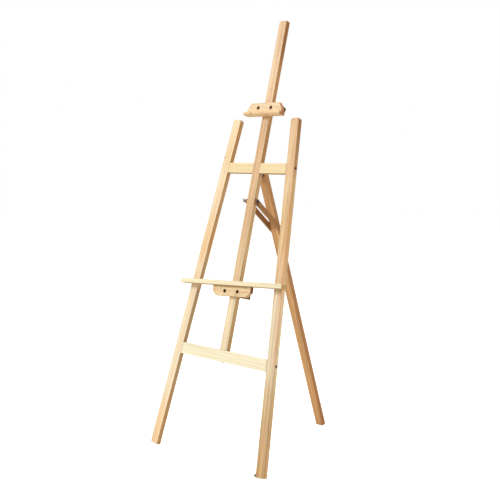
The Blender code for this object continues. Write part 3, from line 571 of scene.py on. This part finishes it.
def crossbar(level, material, cutters):
    bottom, top = BARS[level]
    outline = [(-inner_face(bottom), bottom), (inner_face(bottom), bottom),
               (inner_face(top), top), (-inner_face(top), top)]
    wooden(level + "_crossbar", prism(outline, "Y", 0, BATTEN), lean, (1, 0, 0), "frame",
           material, cutters, middle=(0, BATTEN / 2, (bottom + top) / 2))


upper_bottom, upper_top = BARS["upper"]
lap = BATTEN / 2
housing = to_object("housing", box((-half_mast - GAP, -0.01, upper_bottom - 0.01),
                                   (half_mast + GAP, lap + GAP / 2, upper_top + 0.01)))
crossbar("upper", upper_pine, [housing])
foot_hole = drill((0, lap, BARS["lower"][0]), (0, lap, 0.38), SCREW_HOLE, HOLE_BREAK)
crossbar("lower", lower_pine, [foot_hole])

EASED_TOP = 0.0025
mast_outline = [
    (-half_mast, MAST_BOTTOM), (half_mast, MAST_BOTTOM), (half_mast, MAST_TOP - EASED_TOP),
    (half_mast - EASED_TOP, MAST_TOP), (-half_mast + EASED_TOP, MAST_TOP),
    (-half_mast, MAST_TOP - EASED_TOP)]
mast_lap = to_object("mast_lap", box((-half_mast - 0.01, lap - GAP / 2, upper_bottom - GAP),
                                     (half_mast + 0.01, BATTEN + 0.01, upper_top + GAP)))
bolt_height = (lean.inverted() @ mast_pin).z
mast_hole = drill((-0.03, lap, bolt_height), (0.03, lap, bolt_height), BOLT_RADIUS + GAP)
wooden("mast", prism(mast_outline, "Y", 0, BATTEN), lean, (0, 0, 1), "frame", mast_pine,
       [mast_lap, mast_hole], middle=(0, lap, (MAST_BOTTOM + MAST_TOP) / 2))

# rear leg
from_upright = REAR_OPEN_ANGLE - lean_angle
rear_length = (fold_pin.z + REAR_FACE_OFFSET * math.sin(from_upright)) / math.cos(from_upright)
pivot_y = REAR_FACE_OFFSET + BATTEN / 2
wooden("rear_leg",
       box((-half_mast, REAR_FACE_OFFSET, -rear_length),
           (half_mast, REAR_FACE_OFFSET + BATTEN, -REAR_TOP_DROP)),
       rear, (0, 0, 1), "rear_leg", rear_pine,
       [drill((-0.03, pivot_y, -BRACE_PIVOT_DROP), (0.03, pivot_y, -BRACE_PIVOT_DROP),
              BOLT_RADIUS + GAP)],
       middle=(0, pivot_y, -rear_length / 2))

# brace strips, each with a hook that drops over the mast's bolt
STRIP_HALF = 0.0085
STRIP_THICKNESS = 0.008
TAIL = 0.016
TAIL_CHAMFER = 0.004
NOTCH_ANGLE = math.radians(48)
NOTCH_HALF_WIDTH = 0.0037
NOTCH_MOUTH_HALF_WIDTH = 0.005
NOTCH_LENGTH = 0.022
strip_outline = [(TAIL, -STRIP_HALF + TAIL_CHAMFER), (TAIL, STRIP_HALF - TAIL_CHAMFER),
                 (TAIL - TAIL_CHAMFER, STRIP_HALF)]
for i in range(13):
    angle = math.radians(90 + 15 * i)
    strip_outline.append(
        (-brace_reach + STRIP_HALF * math.cos(angle), STRIP_HALF * math.sin(angle)))
strip_outline.append((TAIL - TAIL_CHAMFER, -STRIP_HALF))
run = Vector((math.cos(NOTCH_ANGLE), -math.sin(NOTCH_ANGLE)))
beside = Vector((run.y, -run.x))
notch = []
for i in range(13):
    angle = math.radians(15 * i)
    offset = (beside * math.cos(angle) - run * math.sin(angle)) * NOTCH_HALF_WIDTH
    notch.append((-brace_reach + offset.x, offset.y))
for sign in (-1, 1):
    mouth = run * NOTCH_LENGTH + beside * sign * NOTCH_MOUTH_HALF_WIDTH
    notch.append((-brace_reach + mouth.x, mouth.y))
strip_in = half_mast + GAP
strip_out = strip_in + STRIP_THICKNESS
for (side, sign), material in zip((("left", -1), ("right", 1)), brace_pines):
    low, high = sorted((sign * strip_in, sign * strip_out))
    hook = to_object("hook", prism(notch, "X", low - 0.002, high + 0.002))
    hole = drill((high + 0.001, 0, 0), (low - 0.001, 0, 0), BOLT_RADIUS + 0.0001)
    wooden(side + "_brace_strip", prism(strip_outline, "X", low, high), brace, (0, 1, 0), "brace",
           material, [hook, hole], width=0.0008,
           middle=((low + high) / 2, -brace_reach / 2, 0))

# canvas clamp and tray
BOLT_X = 0.028
BLOCK_DEPTH = 0.015
RECESS_RADIUS = 0.0063
RECESS_DEPTH = 0.006
REAR_FACE = BATTEN + GAP
REAR_END = REAR_FACE + 0.010
CLAMP_FRONT_OUTLINE = [
    (-0.0765, -0.0165), (0.0765, -0.0165), (0.0765, -0.0065), (0.0625, 0.0175),
    (-0.0625, 0.0175), (-0.0765, -0.0065)]
CLAMP_REAR_OUTLINE = [
    (-0.054, -0.0130), (0.054, -0.0130), (0.060, 0.0070), (0.032, 0.0265),
    (-0.032, 0.0265), (-0.060, 0.0070)]
LIP_TOP = -0.0168
LIP_BOTTOM = -0.0270
LIP_DEPTH = 0.029
TRAY_BOTTOM = 0.0183
TRAY_TOP = 0.0335
TRAY_DEPTH = 0.030
TRAY_FRONT_OUTLINE = [
    (-0.068, -0.0165), (0.068, -0.0165), (0.085, -0.001), (0.085, TRAY_BOTTOM - GAP),
    (-0.085, TRAY_BOTTOM - GAP), (-0.085, -0.001)]
TRAY_REAR_OUTLINE = [
    (-0.040, -0.0130), (0.050, -0.0205), (0.052, -0.0185), (0.052, 0.0150),
    (-0.048, 0.0150), (-0.048, -0.0070)]


def grip_holes(rear_too):
    """Cutters for the two bolts: head recesses and shank holes, or the rear holes."""
    cutters = []
    for sign in (-1, 1):
        x = sign * BOLT_X
        if rear_too:
            cutters.append(drill((x, REAR_END, 0), (x, REAR_FACE - 0.002, 0),
                                 BOLT_RADIUS + GAP, HOLE_BREAK))
        else:
            cutters.append(drill((x, -BLOCK_DEPTH, 0), (x, -BLOCK_DEPTH + RECESS_DEPTH, 0),
                                 RECESS_RADIUS, 0.0005, 40))
            cutters.append(drill((x, -BLOCK_DEPTH, 0), (x, 0.002, 0), BOLT_RADIUS + GAP))
    return cutters


def grip_blocks(prefix, place, body, front_outline, rear_outline, front_wood, rear_block_painted_shade_wood):
    wooden(prefix + "_front_block", prism(front_outline, "Y", -BLOCK_DEPTH, -GAP), place,
           (1, 0, 0), body, front_wood, grip_holes(False),
           middle=(0, -BLOCK_DEPTH / 2, 0))
    # the rear blocks take the dark pines: painted shade
    wooden(prefix + "_rear_block", prism(rear_outline, "Y", REAR_FACE, REAR_END), place, (1, 0, 0),
           body, rear_block_painted_shade_wood, grip_holes(True), middle=(0, (REAR_FACE + REAR_END) / 2, 0))


grip_blocks("clamp", clamp, "canvas_clamp", CLAMP_FRONT_OUTLINE, CLAMP_REAR_OUTLINE,
            clamp_pine, clamp_back_shaded_pine)
wooden("clamp_lip", box((-0.0800, -LIP_DEPTH, LIP_BOTTOM), (0.0818, -GAP, LIP_TOP)), clamp,
       (1, 0, 0), "canvas_clamp", lip_pine, width=0.0016,
       middle=(0, -0.0147, (LIP_TOP + LIP_BOTTOM) / 2))

grip_blocks("tray", tray, "tray", TRAY_FRONT_OUTLINE, TRAY_REAR_OUTLINE, tray_pine,
            tray_back_shaded_pine)
LEDGE_SCREW_X = 0.050
COUNTERSINK = 0.0038
sinks = []
for sign in (-1, 1):
    seat = Vector((sign * LEDGE_SCREW_X, -BLOCK_DEPTH / 2, TRAY_TOP))
    sink = to_object("sink", turned([(0, -0.012), (0.0019, -0.012), (0.0019, -0.0022),
                                     (COUNTERSINK, 0.0), (COUNTERSINK, 0.002), (0, 0.002)]))
    sink.data.transform(Matrix.Translation(seat))
    sinks.append(sink)
wooden("tray_ledge", box((-0.2290, -TRAY_DEPTH, TRAY_BOTTOM), (0.2235, -GAP, TRAY_TOP)), tray,
       (1, 0, 0), "tray", ledge_pine, sinks, middle=(0, -TRAY_DEPTH / 2, 0.026))

# ------------------------------------------------------------------ fasteners
zinc = metal("zinc_plate", (0.56, 0.56, 0.57), 1.0, 0.34, (0.36, 0.36, 0.37))
# a darkened copy of the zinc plate: on the right-hand washers, which face away from the key light,
# it is painted shade; the brace's wing nut takes it as duller zinc
zinc_dull_and_painted_shade = metal("zinc_plate_dull_and_painted_shade", (0.20, 0.17, 0.15), 0.9, 0.5, (0.12, 0.10, 0.09))
black = metal("black_oxide", (0.075, 0.052, 0.036), 0.35, 0.55, (0.10, 0.07, 0.045))
rubber_skin = rubber("black_rubber_skin")
SIDE_SCREW_LENGTH = 0.062
FOOT_SCREW_LENGTH = 0.070
LAP_SCREW_Z = 0.968
LAP_SCREW = {"length": 0.0145, "head": 0.0034, "height": 0.0014, "shank": 0.0016}
TRAY_SCREW = {"length": 0.030, "head": 0.0036, "shank": 0.0016, "sunk": True}
HINGE_SCREW = {"head": 0.0026, "height": 0.0008, "shank": 0.0013}


def hardware(node, made, place, body, material, others=(), angle=38.0):
    freeze(made, others, angle)
    return settle(made, place, node, body, material)


def cross_recess(size, floor):
    """A cross-shaped cutter, tapering down to floor."""
    bm = bmesh.new()
    arm = size * 0.24
    rims = []
    for z, grow in ((size, 1.15), (floor, 0.72)):
        ring = []
        for i in range(4):
            turn = Matrix.Rotation(math.radians(90 * i), 3, "Z")
            for x, y in ((size, -arm), (size, arm), (arm, arm)):
                ring.append(bm.verts.new(turn @ Vector((x * grow, y * grow, z))))
        rims.append(ring)
    bm.faces.new(rims[0])
    bm.faces.new(rims[1][::-1])
    for i in range(len(rims[0])):
        j = (i + 1) % len(rims[0])
        bm.faces.new((rims[0][i], rims[1][i], rims[1][j], rims[0][j]))
    return to_object("cross", bm)


def screw(node, place, seat, out, body, material, slot_name, length, head=0.0045,
          height=0.0024, shank=0.0021, sunk=False):
    """A wood screw with a domed or countersunk head and a cross recess."""
    if sunk:
        profile = [(0, 0), (head * 0.97, 0), (head, -0.0003), (shank, -head * 0.6)]
    else:
        profile = [(0, height)]
        for i in range(1, 7):
            angle = math.radians(15 * i)
            profile.append((head * math.sin(angle), height * math.cos(angle) * 0.9 + height * 0.1))
        profile += [(head, 0), (shank, 0)]
    tip = -length + 2.5 * shank
    turns = 10
    for i in range(turns):
        z = profile[3][1] if sunk else 0.0
        z = z - 0.002 + (tip - z + 0.002) * i / turns
        profile += [(shank, z), (shank * 0.74, z - 0.0006), (shank * 0.74, z - 0.0010)]
    profile += [(shank * 0.9, tip), (0, -length)]
    made = to_object(node + "_steel", turned(profile, 28))
    cutter = cross_recess(head * 0.5, (0 if sunk else height) - head * 0.42)
    combine(made, [cutter])
    return hardware(node, made, place @ aimed(seat, out), body, material, [cutter])


def thread(start, end, radius=BOLT_RADIUS, pitch=0.001, sides=24):
    """A threaded rod from z = start down to z = end."""
    bm = bmesh.new()
    steps = round((start - end) / pitch * 5)
    rows = []
    for k in range(steps + 1):
        z = start + (end - start) * k / steps
        row = []
        for i in range(sides):
            phase = (z / pitch - i / sides) % 1.0
            cut = 0.00045 * max(0.0, 1 - abs(2 * phase - 1) * 1.25)
            fade = min(1.0, (z - end) / 0.0008, (start - z) / 0.0008)
            taper = 0.0006 * (1 - min(1.0, (z - end) / 0.0007))
            r = radius - 0.0001 - max(cut * max(fade, 0.0), taper)
            a = 2 * math.pi * i / sides
            row.append(bm.verts.new((r * math.cos(a), r * math.sin(a), z)))
        rows.append(row)
    for upper, lower in zip(rows, rows[1:]):
        for i in range(sides):
            j = (i + 1) % sides
            bm.faces.new((upper[i], lower[i], lower[j], upper[j]))
    bm.faces.new(rows[0])
    bm.faces.new(rows[-1][::-1])
    return to_object("thread", bm)


def bolt(node, place, seat, out, length, threaded, body, head=0.0053, height=0.0034):
    """A dome-headed bolt with a hexagon socket and a thread at its end."""
    profile = [(0, height)]
    for i in range(1, 7):
        angle = math.radians(15 * i)
        profile.append((head * math.sin(angle), height * math.cos(angle) * 0.88 + height * 0.12))
    profile += [(head, 0.0002), (head - 0.0002, 0), (BOLT_RADIUS, 0),
                (BOLT_RADIUS, -length + threaded), (0, -length + threaded)]
    made = to_object(node + "_steel", turned(profile, 36))
    socket = to_object("socket", turned([(0, height - 0.0020), (0.0022, height - 0.0020),
                                         (0.0023, 0.006), (0, 0.006)], 6))
    rod = thread(-length + threaded + 0.0006, -length)
    combine(made, [socket])
    combine(made, [rod], "UNION")
    return hardware(node, made, place @ aimed(seat, out), body, black, [socket, rod])


def washer(node, place, seat, out, body, material=zinc, radius=0.008):
    bore = BOLT_RADIUS + GAP
    edge = 0.0002
    top = WASHER_THICKNESS
    profile = [(bore + edge, 0), (radius - edge, 0), (radius, edge), (radius, top - 2 * edge),
               (radius - 2 * edge, top), (bore + edge, top), (bore, top - edge), (bore, edge)]
    made = to_object(node + "_steel", turned(profile, 40, closed=True))
    return hardware(node, made, place @ aimed(seat, out), body, material)


def wing_nut(node, place, seat, out, spin, body, material=zinc):
    """A pressed wing nut: flared boss, two ears with rounded edges."""
    bore = BOLT_RADIUS + 0.0001
    boss = [(bore + 0.0003, 0), (0.0051, 0), (0.0053, 0.0003), (0.0053, 0.0012), (0.0047, 0.0020),
            (0.0044, 0.0066), (0.0040, 0.0074), (0.0036, 0.0076), (bore + 0.0003, 0.0076),
            (bore, 0.0073), (bore, 0.0003)]
    made = to_object(node + "_steel", turned(boss, 32, closed=True))
    ears = []
    ear = [(0.0038, 0.0020), (0.0058, 0.0026), (0.0080, 0.0042), (0.0100, 0.0064), (0.0111, 0.0086),
           (0.0113, 0.0100), (0.0106, 0.0108), (0.0094, 0.0106), (0.0080, 0.0092), (0.0066, 0.0078),
           (0.0052, 0.0071), (0.0038, 0.0068)]
    for sign in (-1, 1):
        outline = [(sign * x, z) for x, z in ear]
        blade = to_object("ear", prism(outline, "Y", -0.00095, 0.00095))
        round_edges(blade, 0.00055, 3, 50)
        ears.append(blade)
    combine(made, ears, "UNION")
    turn = Matrix.Rotation(spin, 4, "Z")
    return hardware(node, made, place @ aimed(seat, out) @ turn, body, material,
                    ears, 42)


# crossbar screws
for side, sign in (("left", -1), ("right", 1)):
    for level in BARS:
        out = Vector((sign, 0, 0))
        seat = Vector((sign * (half_leg + GAP), BATTEN / 2, bar_screw_height(level)))
        screw(f"{level}_{side}_crossbar_screw", leg_line(sign), seat, out, "frame", black,
              "black_steel", SIDE_SCREW_LENGTH)
screw("mast_foot_screw", lean, (0, lap, BARS["lower"][0] - GAP), (0, 0, -1), "frame", zinc,
      "zinc_steel", FOOT_SCREW_LENGTH)
screw("mast_lap_screw", lean, (0, BATTEN + GAP, LAP_SCREW_Z), (0, 1, 0), "frame", zinc,
      "zinc_steel", **LAP_SCREW)
for side, sign in (("left", -1), ("right", 1)):
    screw(f"tray_screw_{side}", tray, (sign * LEDGE_SCREW_X, -BLOCK_DEPTH / 2, TRAY_TOP - GAP),
          (0, 0, 1), "tray", zinc, "zinc_steel", **TRAY_SCREW)

# brace bolts
washer_seat = strip_out + GAP
nut_seat = washer_seat + WASHER_THICKNESS + GAP
right_way = Vector((1, 0, 0))
mast_bolt = Vector((0, lap, bolt_height))
bolt("brace_bolt_in_mast", lean, mast_bolt + right_way * nut_seat, right_way,
     2 * nut_seat + 0.0135, 0.020, "frame")
washer("brace_washer_right", lean, mast_bolt + right_way * washer_seat, right_way, "frame",
       zinc_dull_and_painted_shade)
washer("brace_washer_left", lean, mast_bolt - right_way * washer_seat, -right_way, "frame")
wing_nut("brace_wing_nut", lean, mast_bolt - right_way * nut_seat, -right_way, math.radians(-60),
         "brace_wing_nut", zinc_dull_and_painted_shade)
leg_bolt = Vector((0, pivot_y, -BRACE_PIVOT_DROP))
bolt("brace_bolt_in_rear_leg", rear, leg_bolt + right_way * nut_seat, right_way,
     2 * nut_seat + 0.008, 0.014, "rear_leg")
washer("rear_leg_washer_right", rear, leg_bolt + right_way * washer_seat, right_way, "rear_leg",
       zinc_dull_and_painted_shade)
washer("rear_leg_washer_left", rear, leg_bolt - right_way * washer_seat, -right_way, "rear_leg")

nut = to_object("rear_leg_lock_nut_steel", turned(
    [(BOLT_RADIUS + 0.0005, 0), (0.0050, 0), (0.0058, 0.0006), (0.0058, 0.0036), (0.0050, 0.0042),
     (0.0046, 0.0044), (0.0046, 0.0050), (BOLT_RADIUS + 0.0005, 0.0050),
     (BOLT_RADIUS + 0.0001, 0.0046), (BOLT_RADIUS + 0.0001, 0.0004)], 36, closed=True))
flats = to_object("flats", turned([(0, -0.001), (0.0057, -0.001), (0.0057, 0.006), (0, 0.006)], 6))
combine(nut, [flats], "INTERSECT")
hardware("rear_leg_lock_nut", nut, rear @ aimed(leg_bolt - right_way * nut_seat, -right_way),
         "rear_leg", zinc, [flats])

# bolts, washers and wing nuts of the clamp and the tray
back = Vector((0, 1, 0))
recess = -BLOCK_DEPTH + RECESS_DEPTH
for prefix, place, body, spin in (("clamp", clamp, "canvas_clamp", 25),
                                  ("tray", tray, "tray", -20)):
    for side, sign in (("left", -1), ("right", 1)):
        x = sign * BOLT_X
        end = REAR_END + 2 * GAP + WASHER_THICKNESS + 0.0125
        bolt(f"{prefix}_bolt_{side}", place, (x, recess - GAP, 0), -back, end - recess + GAP, 0.022,
             body)
        washer(f"{prefix}_washer_{side}", place, (x, REAR_END + GAP, 0), back, body)
        wing_nut(f"{prefix}_wing_nut_{side}", place, (x, REAR_END + 2 * GAP + WASHER_THICKNESS, 0),
                 back, math.radians(spin * sign), f"{prefix}_wing_nut_{side}")

# ------------------------------------------------------------------ hinge
LEAF = 0.0012
LEAF_HALF = 0.0135
LEAF_START = 0.0027
BARREL = 0.0023
PIN = 0.0012
KNUCKLE_HALF = 0.0045
LEAF_SCREW_X = 0.008
LEAF_HOLE_RADIUS = 0.0016
BAR_LEAF_END = 0.0180
LEG_LEAF_END = 0.0190
BAR_LEAF_SCREW_Z = 0.0110
LEG_LEAF_SCREW_Z = -0.0125
hinge = lean @ Matrix.Translation((0, HINGE_Y, HINGE_Z))
bar_leaf = BATTEN + GAP - HINGE_Y
leg_leaf = REAR_FACE_OFFSET - GAP - LEAF


def hinge_leaf(node, place, near, way, end, knuckles, screw_z, face, body):
    """A pressed leaf with rounded corners, its knuckles rolled round the pin."""
    r = 0.0022
    corners = []
    for i in range(7):
        a = math.radians(15 * i)
        corners.append((LEAF_HALF - r + r * math.cos(a), end - r + r * math.sin(a)))
    plate = [(LEAF_HALF, LEAF_START)] + corners + [(-x, z) for x, z in corners[::-1]]
    plate.append((-LEAF_HALF, LEAF_START))
    plate = [(x, way * z) for x, z in plate]
    made = to_object(node + "_steel", prism(plate, "Y", near, near + LEAF))
    helpers = []
    outer_y = near if face < 0 else near + LEAF
    for left, right in knuckles:
        barrel = [(0, left), (BARREL, left), (BARREL, right), (0, right)]
        tube = to_object("knuckle", turned(barrel, 28))
        tube.data.transform(Matrix.Rotation(math.pi / 2, 4, "Y"))
        web = to_object("web", box((left, near, min(0, way * (LEAF_START + LEAF))),
                                   (right, near + LEAF, max(0, way * (LEAF_START + LEAF)))))
        helpers += [tube, web]
    combine(made, helpers, "UNION")
    cutters = [drill((-0.05, 0, 0), (0.05, 0, 0), PIN + 0.0001)]
    for sign in (-1, 1):
        x = sign * LEAF_SCREW_X
        cutters.append(drill((x, outer_y, screw_z), (x, outer_y - face * 0.004, screw_z),
                             LEAF_HOLE_RADIUS, 0.0004))
    combine(made, cutters)
    # the leaves are black oxide, chosen black partly as painted shade: they deepen the crossbar's
    # shadow on the top of the rear leg
    hardware(node, made, place, body, black, helpers + cutters)


hinge_leaf("hinge_leaf_on_crossbar", hinge, bar_leaf, 1, BAR_LEAF_END,
           [(-LEAF_HALF, -KNUCKLE_HALF - GAP), (KNUCKLE_HALF + GAP, LEAF_HALF)],
           BAR_LEAF_SCREW_Z, 1, "frame")
hinge_leaf("hinge_leaf_on_rear_leg", rear, leg_leaf, -1, LEG_LEAF_END,
           [(-KNUCKLE_HALF, KNUCKLE_HALF)], LEG_LEAF_SCREW_Z, -1, "rear_leg")
pin_half = LEAF_HALF + 0.0006
pin = to_object("hinge_pin_steel", turned(
    [(0, -pin_half), (PIN - 0.0002, -pin_half), (PIN, -pin_half + 0.0002),
     (PIN, pin_half - 0.0002), (PIN - 0.0002, pin_half), (0, pin_half)], 24))
hardware("hinge_pin", pin, hinge @ Matrix.Rotation(math.pi / 2, 4, "Y"), "frame", zinc)
for side, sign in (("left", -1), ("right", 1)):
    x = sign * LEAF_SCREW_X
    screw(f"hinge_screw_crossbar_{side}", hinge, (x, bar_leaf + LEAF + GAP, BAR_LEAF_SCREW_Z),
          (0, 1, 0), "frame", zinc, "zinc_steel", 0.0085, **HINGE_SCREW)
    screw(f"hinge_screw_leg_{side}", rear, (x, leg_leaf - GAP, LEG_LEAF_SCREW_Z),
          (0, -1, 0), "rear_leg", zinc, "zinc_steel", 0.0130, **HINGE_SCREW)

# ------------------------------------------------------------------ dowels and foot stud
beech = pine("beech_dowel_wood", (0.74, 0.55, 0.36), (0.60, 0.41, 0.25), 0.0015, (0.02, 0.01),
             (0.0, 0.0), 61.0, 0.4, 0.1)
DOWEL_X = 0.055
DOWEL_RADIUS = 0.003
DOWEL_HALF = 0.0075
DOWEL_EASE = 0.0004
dowel_profile = [
    (0, -DOWEL_HALF), (DOWEL_RADIUS - DOWEL_EASE, -DOWEL_HALF),
    (DOWEL_RADIUS, -DOWEL_HALF + DOWEL_EASE), (DOWEL_RADIUS, DOWEL_HALF - DOWEL_EASE),
    (DOWEL_RADIUS - DOWEL_EASE, DOWEL_HALF), (0, DOWEL_HALF)]
for side, sign in (("left", -1), ("right", 1)):
    dowel = to_object(f"clamp_dowel_{side}_wood", turned(dowel_profile, 28))
    freeze(dowel)
    settle(dowel, clamp @ Matrix.Translation((sign * DOWEL_X, -BLOCK_DEPTH / 2, LIP_TOP)),
           f"clamp_dowel_{side}", "canvas_clamp", beech)
STUD_RADIUS = 0.0047
STUD_LENGTH = 0.0075
STUD_Y = 0.0050
STUD_HEIGHT = 0.0050
STUD_DOME = 0.0030
stud_profile = [(0, 0), (STUD_RADIUS - 0.0002, 0), (STUD_RADIUS, 0.0004)]
for i in range(6):
    angle = math.radians(15 * i)
    stud_profile.append((STUD_RADIUS * math.cos(angle),
                         STUD_LENGTH - STUD_DOME * (1 - math.sin(angle))))
stud_profile.append((0, STUD_LENGTH))
stud = to_object("right_foot_stud_rubber", turned(stud_profile))
hardware("right_foot_stud", stud,
         leg_line(1) @ aimed((-half_leg - GAP, STUD_Y, STUD_HEIGHT), (-1, 0, 0)), "frame",
         rubber_skin)

# ------------------------------------------------------------------ floor, light and camera
scene = bpy.context.scene
AMBIENT = 0.38
FLOOR_GLOW = 0.82
WARM_FILL = (1.0, 0.86, 0.68)
scene.view_settings.view_transform = "Standard"
scene.view_settings.look = "None"

floor = to_object("floor", box((-14, -14, -0.02), (14, 14, 0)))
floor_tree = Tree("pale_floor")
floor_place = floor_tree.node("TexCoord").outputs["Object"]
floor_grain = floor_tree.noise(floor_place, (60.0, 60.0, 60.0), detail=3.0).outputs[0]
floor_tree.put(floor_tree.shader.inputs["Base Color"],
               floor_tree.mix(floor_grain, (0.80, 0.80, 0.80), (0.84, 0.84, 0.84)))
floor_tree.shader.inputs["Roughness"].default_value = 0.9
floor_tree.shader.inputs["Emission Color"].default_value = (1.0, 1.0, 1.0, 1)
floor_seen = floor_tree.node("LightPath").outputs["Is Camera Ray"]
floor_tree.put(floor_tree.shader.inputs["Emission Strength"],
               floor_tree.math("MULTIPLY", floor_seen, FLOOR_GLOW))
floor.data.materials.append(floor_tree.material)

world = bpy.data.worlds.new("studio")
scene.world = world
world.use_nodes = True
sky = world.node_tree.nodes["Background"]
seen = world.node_tree.nodes.new("ShaderNodeLightPath").outputs["Is Camera Ray"]
shade = world.node_tree.nodes.new("ShaderNodeMix")
shade.data_type = "RGBA"
shade.inputs[6].default_value = (*WARM_FILL, 1)
shade.inputs[7].default_value = (1.0, 1.0, 1.0, 1)
world.node_tree.links.new(seen, shade.inputs[0])
world.node_tree.links.new(shade.outputs[2], sky.inputs["Color"])
strength = world.node_tree.nodes.new("ShaderNodeMapRange")
strength.inputs["To Min"].default_value = AMBIENT
strength.inputs["To Max"].default_value = 1.0
world.node_tree.links.new(seen, strength.inputs["Value"])
world.node_tree.links.new(strength.outputs[0], sky.inputs["Strength"])


def softbox(name, position, target, size, power, colour=(1, 1, 1)):
    light = bpy.data.lights.new(name, "AREA")
    light.shape = "SQUARE"
    light.size = size
    light.energy = power
    light.color = colour
    made = bpy.data.objects.new(name, light)
    bpy.context.collection.objects.link(made)
    made.location = position
    made.rotation_euler = (Vector(target) - Vector(position)).to_track_quat("-Z", "Y").to_euler()
    return made


softbox("key", (-2.6, -3.6, 3.2), (0, 0, 0.7), 1.6, 145)
softbox("top", (0.3, -0.4, 4.5), (0, 0, 0), 3.0, 60, WARM_FILL)
softbox("fill", (3.2, 0.7, 1.3), (0, 0, 0.7), 1.5, 24, WARM_FILL)
softbox("back", (-1.2, 4.0, 2.4), (0, 0, 0.7), 2.4, 60)

CAMERA_PLACE = (1.9515, -2.2957, 0.9217)
CAMERA_YAW_PITCH_ROLL = (42.313, -4.463, 1.654)
camera_data = bpy.data.cameras.new("camera")
camera = bpy.data.objects.new("camera", camera_data)
bpy.context.collection.objects.link(camera)
scene.camera = camera
yaw, pitch, roll = (math.radians(angle) for angle in CAMERA_YAW_PITCH_ROLL)
forward = Vector((
    -math.sin(yaw) * math.cos(pitch), math.cos(yaw) * math.cos(pitch), math.sin(pitch)))
level = Vector((math.cos(yaw), math.sin(yaw), 0))
upright = level.cross(forward)
right = level * math.cos(roll) + upright * math.sin(roll)
above = right.cross(forward)
camera.matrix_world = Matrix.Translation(CAMERA_PLACE) @ Matrix(
    (right, above, -forward)).transposed().to_4x4()
camera_data.lens = 62.44
camera_data.sensor_width = 36
camera_data.shift_x = 0.0122
camera_data.shift_y = -0.0055
camera_data.clip_start = 0.01
